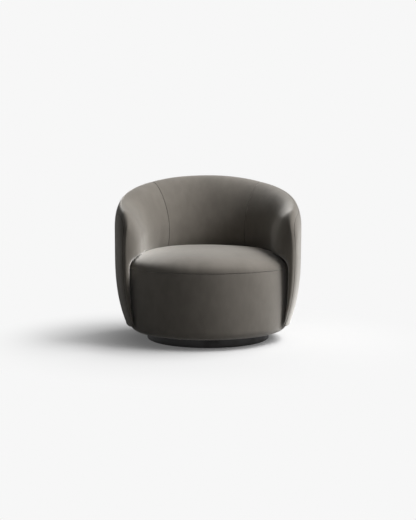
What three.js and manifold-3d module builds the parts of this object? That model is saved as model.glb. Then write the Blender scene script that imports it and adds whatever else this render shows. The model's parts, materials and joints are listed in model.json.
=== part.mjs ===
import * as THREE from "three";
import { mergeVertices } from "three/addons/utils/BufferGeometryUtils.js";
import Module from "manifold-3d";

// An upholstered swivel tub chair, in millimetres, +Z up.
// The origin is on the swivel axis at floor level and the seat opens towards -Y.
// Plan angles are in degrees from the middle of the back. Left is the sitter's left, +X.

// Fits
const gap = 0.3; // between pieces that touch
const seamGap = 0.4; // between two covers along a seam
const overrun = 2; // how far a drill passes its piece

// Materials by thickness
const coverThickness = 2.8;
const boardThickness = 4;
const waddingThickness = 5;

// Plinth
const plinthSetback = 91;
const plinthThickness = 40.7;
const plinthEdge = 3;
const feltThickness = 3;
const feltSetback = 8;
const accessHoleRadius = 9;

// Swivel bearing
const plateSide = 300;
const plateCorner = 14;
const plateThickness = 2;
const ballRadius = 3.2;
const ballClearance = 0.5;
const ballCount = 14;
const racewayInset = 20;
const raceLipWidth = 2;
const raceLipClearance = 1;
const cageThickness = 1.2;
const cageWidth = 15;
const cageClearance = 1.5;
const cageHeadroom = 0.7;
const pivotRadius = 8;
const pivotFlangeRadius = 14;
const pivotFlangeHeight = 2.7;
const pivotClearance = 0.5;
const screwInset = 25;
const screwRadius = 3.5;
const screwHeadRadius = 6.5;
const screwHeadHeight = 2.6;
const screwLength = 24;
const boltLength = 16;

// Seat drum
const drumRadius = 400;
const drumSwell = 5;
const drumPadding = 18;
const cornerRadius = 38;
const underRoll = 6;
const flapWidth = 46;
const seamHeight = 366;
const crownRise = 98;
const baseBoardThickness = 18;
const baseBoardBevel = 14;
const pinHoleClearance = 6;
const deckRingWidth = 72;
const deckRingThickness = 24;
const deckHeight = 290;
const postSide = 50;
const postInset = 38;
const deckFeltThickness = 6;
const dustCoverThickness = 1.2;
const dustCoverClearance = 18.7;

// Seat springs
const springCount = 5;
const springSpacing = 105;
const springWire = 4;
const springWireSides = 5;
const springSwing = 24;
const springWaves = 4;
const springSeatLength = 22;

// Shell: the back and the arms in one sweep
const shellClearance = 3;
const shoulderClearance = 5;
const armThickness = 70;
const hemRise = 29;
const hemOverhang = 14;
const widestHeight = 437;
const backRiseHeight = 360; // above the seat
const armRiseHeight = 230; // above the seat, beside its middle
const crestSetback = 38;
const crestRoll = 120;
const frontCorner = 88;
const frontHemRise = 25;
const padDepth = 108;
const armPadDepth = 81;
const lipFlare = 19;
const crestSeamDrop = 27;
const frontSeamSetback = 17;
const hemRoll = 8;
const hemInside = 44;
const waddingStart = 26;

// Shell frame
const frameLean = 12;
const ribThickness = 18;
const ribRelief = 1;
const railLap = 17;
const waistRailThickness = 24;
const lowerRailClearance = 8;
const lowerRailHeight = 40;
const crestRailDrop = 55;
const crestRailThickness = 18;
const coverLap = 6;
const frontPadInset = 8;
const shellBoltRadius = 4;
const shellBoltHeadRadius = 8;
const shellBoltHeadHeight = 5;
const shellBoltReach = 30;
const shellBoltSetback = 3;

// Plan angles, in degrees
const seamAngle = 42;
const frontFrameAngle = 105;
const armEndAngle = 118;
const backSteps = 5;
const armSteps = 7;
const outerNoseAngle = 111;
const innerNoseAngle = 85;
const padFadeStartAngle = 45;
const padFadeEndAngle = 90;
const shellBoltAngles = { front_left: 76, back_left: 20, back_right: -20, front_right: -76 };

// Shares of the sizes they follow
const crownPowerShare = 3.2;
const hemPowerShare = 2.5;
const padPowerShare = 1.6;
const lipHeightShare = 0.76;
const bulgeHeightShare = 0.3;
const noseShare = 0.75;
const rimShare = 0.35;
const noseShares = [0.385, 0.654, 0.846, 0.962, 1];
const crownTurnShares = [0, 0.14, 0.3, 0.5, 0.72, 1];
const cornerTurnShares = [0, 0.33, 0.67, 1];
const lipRowShares = crownTurnShares.slice(1, 3).map((share) => Math.sin((Math.PI / 2) * share));
const insideRowShare = 0.45;
const bulgeRowShares = [0.12, 0.5, 1];
const padRowShares = [0.34, 0.64, 0.88, 1];
const rollRowShares = [0.12, 0.4, 1];
const wallRowShares = [0.25, 0.5, 0.75, 1];

// Derived heights, from the floor up
const plinthBase = feltThickness + gap;
const plinthTop = plinthBase + plinthThickness;
const lowerPlateBase = plinthTop + gap;
const lowerPlateTop = lowerPlateBase + plateThickness;
const plateSpace = 2 * (ballRadius + ballClearance);
const raceLipHeight = (plateSpace - cageThickness) / 2 - cageHeadroom;
const upperPlateBase = lowerPlateTop + plateSpace;
const upperPlateTop = upperPlateBase + plateThickness;
const boardBase = upperPlateTop + gap;
const boardTop = boardBase + baseBoardThickness;
const drumBase = boardBase - underRoll;
const ringBase = deckHeight - deckRingThickness;
const ringMiddle = deckHeight - deckRingThickness / 2;
const springHeight = deckHeight + gap + springWire / 2;
const deckFeltBase = springHeight + springWire / 2 + gap;
const foamBase = deckFeltBase + deckFeltThickness + gap;
const railBase = ringMiddle - waistRailThickness / 2;
const railTop = railBase + waistRailThickness;
const hemHeight = drumBase + hemRise;
const lowerRailBase = hemHeight + frontHemRise + waddingStart + lowerRailClearance;
const lowerRailTop = lowerRailBase + lowerRailHeight;
const lipHeight = seamHeight + crownRise * lipHeightShare;
const seatTop = seamHeight + crownRise;
const backHeight = seatTop + backRiseHeight;
const armHeight = seatTop + armRiseHeight;

// Derived radii and insets
const plinthRadius = drumRadius - plinthSetback;
const racewayRadius = plateSide / 2 - racewayInset;
const upperLipOffset = ballRadius + raceLipClearance + raceLipWidth / 2;
const lowerLipOffset = cageWidth / 2 + cageClearance + raceLipWidth / 2;
const pinHoleRadius = pivotFlangeRadius + pinHoleClearance;
const plateReach = (plateSide / 2 - plateCorner) * Math.SQRT2 + plateCorner;
const dustCoverRadius = plateReach + dustCoverClearance;
const shellRadius = drumRadius + armThickness;
const hemTuck = armThickness - hemOverhang;
const swellHeight = (drumBase + cornerRadius + seamHeight) / 2;
const frameRadius = drumRadius - coverThickness - drumPadding - boardThickness - gap;
const flapRadius = drumRadius - flapWidth;
const crestRadius = shellRadius - crestSetback;
const skin = coverThickness + gap;
const boardInset = skin + waddingThickness + gap;
const frameInset = boardInset + boardThickness + gap;
const screwPlace = plateSide / 2 - screwInset;

// Derived plan angles
const backStep = seamAngle / backSteps;
const armStep = (frontFrameAngle - seamAngle) / armSteps;
const ribAngles = [0, 4 * backStep, seamAngle + 3 * armStep, seamAngle + 6 * armStep];
const noseAngles = noseShares.map((share) => frontFrameAngle + (armEndAngle - frontFrameAngle) * share);

const rad = THREE.MathUtils.degToRad;
const { clamp, lerp, smoothstep } = THREE.MathUtils;
const arcAngle = (length) => THREE.MathUtils.radToDeg(length / shellRadius);
const numbers = (from, to) => Array.from({ length: to - from + 1 }, (unused, i) => from + i);
const wasm = await Module();
wasm.setup();

// Solids

function signedVolume(geometry) {
  const place = geometry.getAttribute("position");
  const index = geometry.index.array;
  const [a, b, c] = [new THREE.Vector3(), new THREE.Vector3(), new THREE.Vector3()];
  let volume = 0;
  for (let i = 0; i < index.length; i += 3) {
    a.fromBufferAttribute(place, index[i]);
    b.fromBufferAttribute(place, index[i + 1]);
    c.fromBufferAttribute(place, index[i + 2]);
    volume += a.dot(b.cross(c)) / 6;
  }
  return volume;
}

// A copy with its shared corners merged, no flattened triangles, and its faces pointing out
function closedGeometry(geometry) {
  const loose = geometry.index ? geometry.toNonIndexed() : geometry;
  const bare = new THREE.BufferGeometry().setAttribute("position", loose.getAttribute("position").clone());
  const merged = mergeVertices(bare, 1e-3);
  const faces = [];
  const old = merged.index.array;
  for (let i = 0; i < old.length; i += 3) {
    const [a, b, c] = [old[i], old[i + 1], old[i + 2]];
    if (a !== b && b !== c && c !== a) faces.push([a, b, c]);
  }
  merged.setIndex(faces.flat());
  if (signedVolume(merged) < 0) merged.setIndex(faces.flatMap(([a, b, c]) => [a, c, b]));
  return merged;
}

function toManifold(geometry) {
  const closed = closedGeometry(geometry);
  const vertProperties = new Float32Array(closed.getAttribute("position").array);
  const triVerts = new Uint32Array(closed.index.array);
  return new wasm.Manifold(new wasm.Mesh({ numProp: 3, vertProperties, triVerts }));
}

function fromManifold(solid) {
  const mesh = solid.getMesh();
  return new THREE.BufferGeometry()
    .setAttribute("position", new THREE.BufferAttribute(new Float32Array(mesh.vertProperties), 3))
    .setIndex(new THREE.BufferAttribute(new Uint32Array(mesh.triVerts), 1));
}

function join(geometries) {
  return fromManifold(geometries.map(toManifold).reduce((sum, next) => sum.add(next)));
}

function cut(geometry, cutters) {
  const whole = toManifold(geometry);
  return fromManifold(cutters.map(toManifold).reduce((left, next) => left.subtract(next), whole));
}

// Revolved round the swivel axis from [radius, height] corners
function lathe(profile, sides = 36) {
  const points = profile.map(([radius, height]) => new THREE.Vector2(radius, height));
  return closedGeometry(new THREE.LatheGeometry(points, sides).rotateX(Math.PI / 2));
}

function ring(inner, outer, low, high, sides) {
  return lathe([[inner, low], [outer, low], [outer, high], [inner, high], [inner, low]], sides);
}

function disc(radius, low, high) {
  return lathe([[0, low], [radius, low], [radius, high], [0, high]]);
}

function upright(radius, low, high, x = 0, y = 0, sides = 12) {
  const rod = new THREE.CylinderGeometry(radius, radius, high - low, sides);
  return rod.rotateX(Math.PI / 2).translate(x, y, (low + high) / 2);
}

// A rod that points away from the swivel axis at a plan angle
function radialRod(radius, from, to, height, angle, sides = 6) {
  const rod = new THREE.CylinderGeometry(radius, radius, to - from, sides);
  return rod.translate(0, (from + to) / 2, height).rotateZ(-rad(angle));
}

function polar(angle, radius, height) {
  return new THREE.Vector3(radius * Math.sin(rad(angle)), radius * Math.cos(rad(angle)), height);
}

// A solid between two skins with the same cells, and a wall along every open edge.
// Each point has a front and a back, and each cell lists the numbers of its four points.
function thicken(points, cells) {
  const corners = [];
  const openEdges = new Map();
  for (const cell of cells) {
    const [p, q, r, s] = cell.map((number) => points[number]);
    corners.push(p.front, q.front, r.front, p.front, r.front, s.front);
    corners.push(p.back, r.back, q.back, p.back, s.back, r.back);
    cell.forEach((from, i) => {
      const to = cell[(i + 1) % 4];
      if (!openEdges.delete(to + "," + from)) openEdges.set(from + "," + to, [points[from], points[to]]);
    });
  }
  for (const [p, q] of openEdges.values()) {
    corners.push(q.front, p.front, p.back, q.front, p.back, q.back);
  }
  const place = new THREE.Float32BufferAttribute(corners.flatMap((corner) => corner.toArray()), 3);
  return closedGeometry(new THREE.BufferGeometry().setAttribute("position", place));
}

function gridCells(grid) {
  const cells = [];
  for (let i = 0; i < grid.length - 1; i++) {
    for (let j = 0; j < grid[i].length - 1; j++) {
      cells.push([grid[i][j], grid[i + 1][j], grid[i + 1][j + 1], grid[i][j + 1]]);
    }
  }
  return cells;
}

function panel(columns, rows, place) {
  const points = [];
  const grid = columns.map((column, i) => rows.map((row, j) => points.push(place(column, row, i, j)) - 1));
  return thicken(points, gridCells(grid));
}

// The seat drum's outline

function drumSide(height, inset = 0) {
  const away = (height - swellHeight) / (seamHeight - swellHeight);
  return drumRadius + drumSwell * (1 - away * away) - inset;
}

const cornerHeight = drumBase + cornerRadius;
const cornerMiddle = drumSide(cornerHeight) - cornerRadius;

function drumOutline(inset, top = seamHeight) {
  const bend = cornerRadius - inset;
  const corner = cornerTurnShares.map((share) => {
    const turn = (Math.PI / 2) * share;
    return [cornerMiddle + bend * Math.sin(turn), cornerHeight - bend * Math.cos(turn)];
  });
  const sides = [swellHeight, foamBase, seamHeight].filter((height) => height < top);
  return [...corner, ...[...sides, top].map((height) => [drumSide(height, inset), height])];
}

function crownOutline(inset, lift = 0) {
  return crownTurnShares.map((share) => {
    const turn = (Math.PI / 2) * share;
    const radius = share === 1 ? 0 : (drumRadius - inset) * Math.cos(turn) ** (2 / crownPowerShare);
    return [radius, seamHeight + lift + (crownRise - inset - lift) * Math.sin(turn)];
  });
}

function crownRadius(height) {
  const up = clamp((height - seamHeight) / crownRise, 0, 1);
  return drumRadius * (1 - up * up) ** (1 / crownPowerShare);
}

// The shell's outline. Each surface takes an inset, so that the layers nest in each other.

// 1 up to a plan angle, then down to 0 at the arm's front edge along a quarter circle
function fade(angle, start, inset = 0) {
  const end = armEndAngle - arcAngle(inset);
  const along = clamp((Math.abs(angle) - start) / (end - start), 0, 1);
  return Math.sqrt(1 - along * along);
}

const cornerStart = armEndAngle - arcAngle(frontCorner);

// A plan angle drawn back from the arm's front edge with the inset
function withinEnd(angle, inset) {
  const share = clamp((Math.abs(angle) - cornerStart) / (armEndAngle - cornerStart), 0, 1);
  return angle - Math.sign(angle) * arcAngle(inset) * share;
}

function crestHeight(angle, inset = 0) {
  const sloped = armHeight + (backHeight - armHeight) * Math.cos(rad(angle));
  return sloped - inset - (frontCorner - inset) * (1 - fade(angle, cornerStart, inset));
}

function hemLine(angle) {
  return hemHeight + frontHemRise * (1 - fade(angle, cornerStart));
}

// The wall that faces the seat drum
function shellInside(height) {
  if (height >= seamHeight) return drumRadius + shellClearance;
  if (height >= cornerHeight) return drumSide(height) + shellClearance;
  return cornerMiddle + Math.sqrt(cornerRadius ** 2 - (cornerHeight - height) ** 2) + shellClearance;
}

function shellSide(height) {
  const below = Math.max(0, (widestHeight - height) / (widestHeight - hemHeight));
  return shellRadius - hemTuck * below ** hemPowerShare;
}

function noseRadius(height) {
  return lerp(shellInside(height), shellSide(height), noseShare);
}

function outerRadius(angle, height, inset = 0) {
  const up = clamp((height - crestHeight(angle, inset) + crestRoll) / crestRoll, 0, 1);
  const rolled = lerp(crestRadius, shellSide(height) - inset, Math.sqrt(1 - up * up));
  return lerp(noseRadius(height), rolled, fade(angle, outerNoseAngle, inset));
}

function bulgeHeight(angle) {
  return lipHeight + bulgeHeightShare * (crestHeight(angle) - lipHeight);
}

// How far the inner face lies inside the crest line, and how much of that is the pad's
function padProfile(angle, height, inset) {
  const armward = smoothstep(Math.abs(angle), padFadeStartAngle, padFadeEndAngle);
  const bulge = drumRadius + shellClearance - lerp(padDepth, armPadDepth, armward) + inset;
  const bulgeAt = bulgeHeight(angle);
  if (height >= bulgeAt) {
    const up = Math.min(1, (height - bulgeAt) / (crestHeight(angle, inset) - bulgeAt));
    const curl = (1 - up ** padPowerShare) ** (1 / padPowerShare);
    return { depth: (crestRadius - bulge) * curl, share: curl };
  }
  if (height < seamHeight) return { depth: crestRadius - shellInside(height) - inset, share: 1 };
  const down = Math.min(1, (bulgeAt - height) / (bulgeAt - lipHeight));
  const lip = bulge + lipFlare * down ** 3;
  const shoulder = crownRadius(height) + shoulderClearance + inset;
  return { depth: crestRadius - Math.max(lip, shoulder), share: 1 };
}

function innerRadius(angle, height, inset = 0) {
  const { depth, share } = padProfile(angle, height, inset);
  const open = fade(angle, innerNoseAngle, inset);
  const outward = noseRadius(height) - crestRadius;
  const shift = lerp(1 - fade(angle, outerNoseAngle, inset), 1 - open, share);
  return crestRadius + outward * shift - depth * open;
}

// Heights of the inner face's rows, from its lower edge to the crest
function innerRows(angle, low, inset) {
  const top = crestHeight(angle, inset);
  const bulgeAt = bulgeHeight(angle);
  const inside = Math.max(cornerHeight, low + hemRoll);
  return [
    low,
    inside,
    lerp(inside, seamHeight, insideRowShare),
    seamHeight,
    ...lipRowShares.map((share) => seamHeight + crownRise * share),
    lipHeight,
    ...bulgeRowShares.map((share) => lerp(lipHeight, bulgeAt, share)),
    ...padRowShares.map((share) => lerp(bulgeAt, top, share)),
  ];
}

// Heights of the outer face's rows, from the hem to the crest seam
function outerRows(angle, top) {
  const hem = hemLine(angle);
  const wallTop = top - crestRailDrop + crestSeamDrop;
  return [
    hem + hemRoll,
    hem + waddingStart,
    lowerRailBase,
    ...wallRowShares.map((share) => lerp(lowerRailBase, wallTop, share)),
    top,
  ];
}

// The outer face as its flat facets have it, between two rows
function outerFacet(angle, height, inset) {
  const rows = outerRows(angle, crestHeight(angle) - crestSeamDrop);
  const i = Math.max(1, rows.findIndex((row) => row >= height));
  const share = (height - rows[i - 1]) / (rows[i] - rows[i - 1]);
  return lerp(outerRadius(angle, rows[i - 1], inset), outerRadius(angle, rows[i], inset), share);
}

// A place between the crest line or front edge (share 0) and the seam beside it (share 1)
function besideCrest(angle, height, share, extra = 0) {
  const turn = Math.acos(fade(angle, cornerStart));
  const away = lerp(crestSeamDrop, frontSeamSetback, Math.sin(turn)) * share + extra;
  return {
    angle: Math.abs(angle) - arcAngle(away * Math.sin(turn)),
    height: height - away * Math.cos(turn),
  };
}

function outerPoint(side, { angle, height }, inset, seamShare = 0) {
  const turned = lerp(withinEnd(angle, inset), angle, seamShare);
  const kept = Math.min(height, crestHeight(turned, inset));
  return polar(side * turned, outerRadius(turned, kept, inset), kept);
}

// Columns that all the shell's layers share, so that their facets lie parallel
const backColumns = numbers(-backSteps, backSteps).map((number) => number * backStep);
const armColumns = numbers(0, armSteps).map((number) => seamAngle + number * armStep);
const frameColumns = [
  ...armColumns.map((angle) => -angle).reverse(),
  ...backColumns.slice(1, -1),
  ...armColumns,
];
const innerRowCount = innerRows(0, railTop, 0).length;
const crestRow = innerRowCount - 1;

// The first and last columns, drawn in by half the gap at their seams
function besideSeam(columns, i, clear = seamGap / 2) {
  const last = columns.length - 1;
  if (i === 0) return columns[0] + Math.sign(columns[1] - columns[0]) * arcAngle(clear);
  if (i === last && columns[last] < armEndAngle) return columns[last] - arcAngle(clear);
  return columns[i];
}

// Covers

function innerBackCover() {
  const rows = numbers(0, crestRow + rollRowShares.length);
  return panel(backColumns, rows, (column, row, i) => {
    const angle = besideSeam(backColumns, i);
    const at = (inset) => {
      const height = innerRows(angle, railTop - coverLap, inset)[row];
      if (row <= crestRow) return polar(angle, innerRadius(angle, height, inset), height);
      const share = rollRowShares[row - crestRow - 1];
      const place = besideCrest(angle, crestHeight(angle), share, share === 1 ? -seamGap / 2 : 0);
      return outerPoint(Math.sign(angle), place, inset);
    };
    return { front: at(0), back: at(coverThickness) };
  });
}

// The arm cover's lower edge: on the waist rail beside the seat, at the hem in front
function armLowEdge(angle) {
  const frontward = smoothstep(Math.abs(angle), innerNoseAngle, frontFrameAngle);
  return lerp(railTop - coverLap, hemLine(angle), frontward);
}

// The arm's inner face is a grid. A strip runs on from its top row and its last column,
// over the crest and round the arm's front to the outer seam.
function innerArmCover(side) {
  const columns = [...armColumns, ...noseAngles];
  const rows = numbers(0, crestRow);
  const points = [];
  const addPoint = (at) => points.push({ front: at(0), back: at(coverThickness) }) - 1;
  const rowHeight = (angle, row, inset) => {
    const turned = withinEnd(angle, inset);
    return innerRows(turned, armLowEdge(turned) + (row ? 0 : inset), inset)[row];
  };
  const grid = columns.map((column, i) => {
    const angle = besideSeam(columns, i);
    return rows.map((row) =>
      addPoint((inset) => {
        const height = rowHeight(angle, row, inset);
        const turned = withinEnd(angle, inset);
        return polar(side * turned, innerRadius(turned, height, inset), height);
      }),
    );
  });
  const front = grid.length - 1;
  const crestLine = columns.map((column, i) => ({
    start: grid[i][crestRow],
    angle: besideSeam(columns, i),
    row: crestRow,
  }));
  const frontLine = numbers(1, crestRow).map((down) => ({
    start: grid[front][crestRow - down],
    angle: armEndAngle,
    row: crestRow - down,
  }));
  const strip = [...crestLine, ...frontLine].map(({ start, angle, row }) => {
    const across = rollRowShares.map((share) =>
      addPoint((inset) => {
        const height = rowHeight(angle, row, row === crestRow ? 0 : inset);
        const place = besideCrest(angle, height, share, share === 1 ? -seamGap / 2 : 0);
        return outerPoint(side, place, inset, share);
      }),
    );
    return [start, ...across];
  });
  return thicken(points, [...gridCells(grid), ...gridCells(strip)]);
}

// The outer covers run from the crest seam down to the hem, and turn up inside beside the drum
function outerCover(columns, side) {
  const hemRows = ["inside", "turn", "rim"];
  return panel(columns, [...hemRows, ...numbers(0, wallRowShares.length + 3)], (column, row, i) => {
    const edge = besideSeam(columns, i);
    const place = besideCrest(edge, crestHeight(edge), 1, seamGap / 2);
    const angle = place.angle;
    const facing = side * (Math.sign(column) || 1);
    const hem = hemLine(angle);
    const turned = 1 - smoothstep(angle, innerNoseAngle - armStep, innerNoseAngle);
    const at = (inset) => {
      const wallPoint = (height) => polar(facing * angle, innerRadius(angle, height, 0) + inset, height);
      const outside = outerRadius(angle, hem + hemRoll);
      const rimRadius = lerp(outside, innerRadius(angle, hem + hemRoll), rimShare);
      const rim = polar(facing * angle, rimRadius, hem + inset);
      if (row === "rim") return rim;
      if (row === "turn") return rim.lerp(wallPoint(hem + hemRoll), turned);
      if (row === "inside") return rim.lerp(wallPoint(hem + hemInside), turned);
      const height = outerRows(angle, place.height)[row];
      return outerPoint(facing, { angle, height }, inset, 1);
    };
    return { front: at(0), back: at(coverThickness) };
  });
}

// Foam, wadding and boards of the shell

const crestRailTop = (angle) => crestHeight(angle) - crestRailDrop;
const crestRailBase = (angle) => crestRailTop(angle) - crestRailThickness;

// The frame's inner edge: beside the drum, then leaning back to the crest rail
function frameInside(angle, height) {
  const wall = innerRadius(angle, Math.min(height, seamHeight), skin) + gap;
  return wall + frameLean * Math.max(0, (height - seamHeight) / (crestRailTop(angle) - seamHeight));
}

function padFoam(columns) {
  const firstRow = 4;
  const rows = numbers(firstRow, crestRow + rollRowShares.length + 1);
  return panel(columns, rows, (column, row, i) => {
    const angle = besideSeam(columns, i, gap);
    const top = crestRailTop(angle) + 2 * gap;
    const outerEnd = outerRadius(angle, top, skin);
    if (row <= crestRow) {
      const height = innerRows(angle, railTop, skin)[row];
      const behind = Math.min(height, top);
      return {
        front: polar(angle, innerRadius(angle, height, skin), height),
        back: polar(angle, frameInside(angle, behind) - gap, behind),
      };
    }
    const number = row - crestRow;
    const reach = lerp(frameInside(angle, top), outerEnd, number / (rollRowShares.length + 1));
    const back = polar(angle, Math.min(reach, outerEnd - waddingThickness), top);
    if (number > rollRowShares.length) return { front: polar(angle, outerEnd, top), back };
    const place = besideCrest(angle, crestHeight(angle), rollRowShares[number - 1]);
    return { front: outerPoint(Math.sign(angle), place, skin), back };
  });
}

// The solid pad in the arm's front, from the end of the frame to the front edge. It starts
// above the thin hem, and its two faces meet on the crest and on the front edge.
function armFrontPad() {
  const columns = [frontFrameAngle, ...noseAngles];
  const firstRow = 2;
  return panel(columns, numbers(firstRow, crestRow), (column, row, i) => {
    const angle = withinEnd(besideSeam(columns, i, 2 * gap), frontPadInset);
    const height = innerRows(angle, hemLine(angle), frontPadInset)[row];
    const front = polar(angle, innerRadius(angle, height, frontPadInset), height);
    if (i === columns.length - 1 || row === crestRow) return { front, back: front };
    return { front, back: polar(angle, outerRadius(angle, height, frontPadInset), height) };
  });
}

// A layer bent round the outside of the ribs, on the same rows as the outer covers
function outerLayer(near, thickness, firstRow) {
  const lastRow = outerRows(0, widestHeight).length - 2;
  return panel(frameColumns, numbers(firstRow, lastRow), (column, row, i) => {
    const angle = besideSeam(frameColumns, i, gap);
    const height = outerRows(angle, crestHeight(angle) - crestSeamDrop)[row] - (row === lastRow ? gap : 0);
    return {
      front: polar(angle, outerRadius(angle, height, near), height),
      back: polar(angle, outerRadius(angle, height, near + thickness), height),
    };
  });
}

// The board that the foam rests on, from the waist rail to the crest rail
function innerBoard() {
  return panel(frameColumns, ["low", "seam", "high"], (column, row, i) => {
    const angle = besideSeam(frameColumns, i, gap);
    const height = { low: railTop + gap, seam: seamHeight, high: crestRailBase(angle) - gap }[row];
    const radius = frameInside(angle, height);
    return { front: polar(angle, radius, height), back: polar(angle, radius + boardThickness, height) };
  });
}

// Rails and ribs of the shell frame

function curvedRail(low, high) {
  return panel(frameColumns, ["low", "high"], (column, row, i) => {
    const angle = besideSeam(frameColumns, i, gap);
    const height = row === "low" ? low(angle) : high(angle);
    return {
      front: polar(angle, frameInside(angle, height), height),
      back: polar(angle, outerFacet(angle, height, frameInset), height),
    };
  });
}

const lapRadius = (angle) => frameInside(angle, railTop) + railLap;

function boltSeat(angle) {
  return outerFacet(angle, ringMiddle, frameInset) - shellBoltSetback - shellBoltHeadHeight;
}

function waistRail() {
  const slots = ribAngles.flatMap((angle) => (angle ? [angle, -angle] : [0])).map((angle) => {
    const inner = lapRadius(angle) - gap;
    const slot = new THREE.BoxGeometry(
      ribThickness + 2 * gap,
      shellRadius - inner,
      waistRailThickness + 2 * overrun,
    );
    return slot.translate(0, (shellRadius + inner) / 2, ringMiddle).rotateZ(-rad(angle));
  });
  const holes = Object.values(shellBoltAngles).flatMap((angle) => {
    return [
      radialRod(shellBoltRadius + gap, frameRadius, shellRadius, ringMiddle, angle),
      radialRod(shellBoltHeadRadius + gap, boltSeat(angle) - gap, shellRadius, ringMiddle, angle),
    ];
  });
  return cut(curvedRail(() => railBase, () => railTop), [...slots, ...holes]);
}

// An upright plywood rib, lapped over the waist rail and standing on the lower rail
function rib(angle) {
  const low = lowerRailTop + gap;
  const high = crestRailBase(Math.abs(angle) + arcAngle(ribThickness / 2 + ribRelief)) - gap;
  const outer = (height) => [outerFacet(angle, height, frameInset) - ribRelief, height];
  const inner = (height) => [frameInside(angle, height) + boardThickness + gap + ribRelief, height];
  const wall = (height) => [frameInside(angle, height), height];
  const seamRow = crestHeight(angle) - crestSeamDrop;
  const wallRows = outerRows(angle, seamRow).filter((row) => row > low && row < high);
  const outline = [
    outer(low),
    ...wallRows.map(outer),
    outer(high),
    inner(high),
    inner(seamHeight),
    inner(railTop + gap),
    [lapRadius(angle), railTop + gap],
    [lapRadius(angle), railBase - gap],
    wall(railBase - gap),
    wall(low),
  ];
  const shape = new THREE.Shape(outline.map(([radius, height]) => new THREE.Vector2(radius, height)));
  const plate = new THREE.ExtrudeGeometry(shape, { depth: ribThickness, bevelEnabled: false });
  return plate.translate(0, 0, -ribThickness / 2).rotateX(Math.PI / 2).rotateZ(Math.PI / 2 - rad(angle));
}

function shellBolt(angle) {
  const seat = boltSeat(angle);
  return join([
    radialRod(shellBoltHeadRadius, seat, seat + shellBoltHeadHeight, ringMiddle, angle),
    radialRod(shellBoltRadius, frameRadius - shellBoltReach, seat + gap, ringMiddle, angle),
  ]);
}

// Holes for the shell's bolts through the drum
const boltDrills = Object.values(shellBoltAngles).map((angle) =>
  radialRod(shellBoltRadius + gap, frameRadius - shellBoltReach - overrun, shellRadius, ringMiddle, angle),
);

// Plinth and bearing

const corners = [[1, 1], [-1, 1], [-1, -1], [1, -1]];
const cornerDrills = (radius, low, high) =>
  corners.map(([x, y]) => upright(radius, low, high, x * screwPlace, y * screwPlace));
const accessHole = (low, high) => upright(accessHoleRadius, low, high, screwPlace * Math.SQRT2, 0);

function plinthFelt() {
  const felt = disc(plinthRadius - feltSetback, 0, feltThickness);
  return cut(felt, [accessHole(-overrun, feltThickness + overrun)]);
}

function plinthDisc() {
  const profile = [
    [0, plinthBase],
    [plinthRadius - plinthEdge, plinthBase],
    [plinthRadius, plinthBase + plinthEdge],
    [plinthRadius, plinthTop - plinthEdge],
    [plinthRadius - plinthEdge, plinthTop],
    [0, plinthTop],
  ];
  const pocketDepth = pivotFlangeHeight + 2 * gap;
  return cut(lathe(profile, 48), [
    upright(pivotFlangeRadius + 2 * gap, plinthTop - pocketDepth, plinthTop + overrun),
    accessHole(plinthBase - overrun, plinthTop + overrun),
    ...cornerDrills(screwRadius + gap, lowerPlateTop - screwLength - gap, plinthTop + overrun),
  ]);
}

function roundedSquare(side, corner) {
  const straight = side / 2 - corner;
  const shape = new THREE.Shape();
  const turns = [0, 1, 2];
  const points = corners.flatMap(([x, y], quarter) =>
    turns.map((step) => {
      const turn = (Math.PI / 2) * (quarter + step / 2);
      const [along, across] = [corner * Math.cos(turn), corner * Math.sin(turn)];
      return new THREE.Vector2(x * straight + along, y * straight + across);
    }),
  );
  return shape.setFromPoints(points);
}

// A stamped plate with two raised lips that keep the balls in their track
function swivelPlate(low, lipOffset, upward, pivotHole) {
  const high = low + plateThickness;
  const sheet = new THREE.ExtrudeGeometry(roundedSquare(plateSide, plateCorner), {
    depth: plateThickness,
    bevelEnabled: false,
  }).translate(0, 0, low);
  const middle = (low + high) / 2;
  const lipEnd = upward ? high + raceLipHeight : low - raceLipHeight;
  const lips = [-1, 1].map((way) => {
    const radius = racewayRadius + way * lipOffset;
    const [inner, outer] = [radius - raceLipWidth / 2, radius + raceLipWidth / 2];
    return ring(inner, outer, Math.min(middle, lipEnd), Math.max(middle, lipEnd), 32);
  });
  return cut(join([sheet, ...lips]), [
    upright(pivotHole, low - overrun, high + overrun),
    ...cornerDrills(screwRadius + gap, low - overrun, high + overrun),
  ]);
}

function ballCage() {
  const middle = (lowerPlateTop + upperPlateBase) / 2;
  const band = ring(
    racewayRadius - cageWidth / 2,
    racewayRadius + cageWidth / 2,
    middle - cageThickness / 2,
    middle + cageThickness / 2,
    ballCount * 2,
  );
  const balls = numbers(1, ballCount).map((number) => {
    const { x, y } = polar((360 * number) / ballCount, racewayRadius, middle);
    return new THREE.SphereGeometry(ballRadius, 8, 4).rotateX(Math.PI / 2).translate(x, y, middle);
  });
  return join([band, ...balls]);
}

function pivotPin() {
  const foot = lowerPlateBase - gap;
  const head = upperPlateTop + gap;
  return lathe(
    [
      [0, foot - pivotFlangeHeight],
      [pivotFlangeRadius, foot - pivotFlangeHeight],
      [pivotFlangeRadius, foot],
      [pivotRadius, foot],
      [pivotRadius, head],
      [pivotFlangeRadius, head],
      [pivotFlangeRadius, head + pivotFlangeHeight],
      [0, head + pivotFlangeHeight],
    ],
    16,
  );
}

// A screw with a low round head, pointing down (way -1) or up (way 1) from its plate
function screw(seat, way, length, [x, y]) {
  const outline = [
    [0, seat - way * screwHeadHeight],
    [screwHeadRadius, seat - way * screwHeadHeight],
    [screwHeadRadius, seat],
    [screwRadius, seat],
    [screwRadius, seat + way * length],
    [0, seat + way * length],
  ];
  return lathe(outline, 6).translate(x * screwPlace, y * screwPlace, 0);
}

// Seat drum

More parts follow.
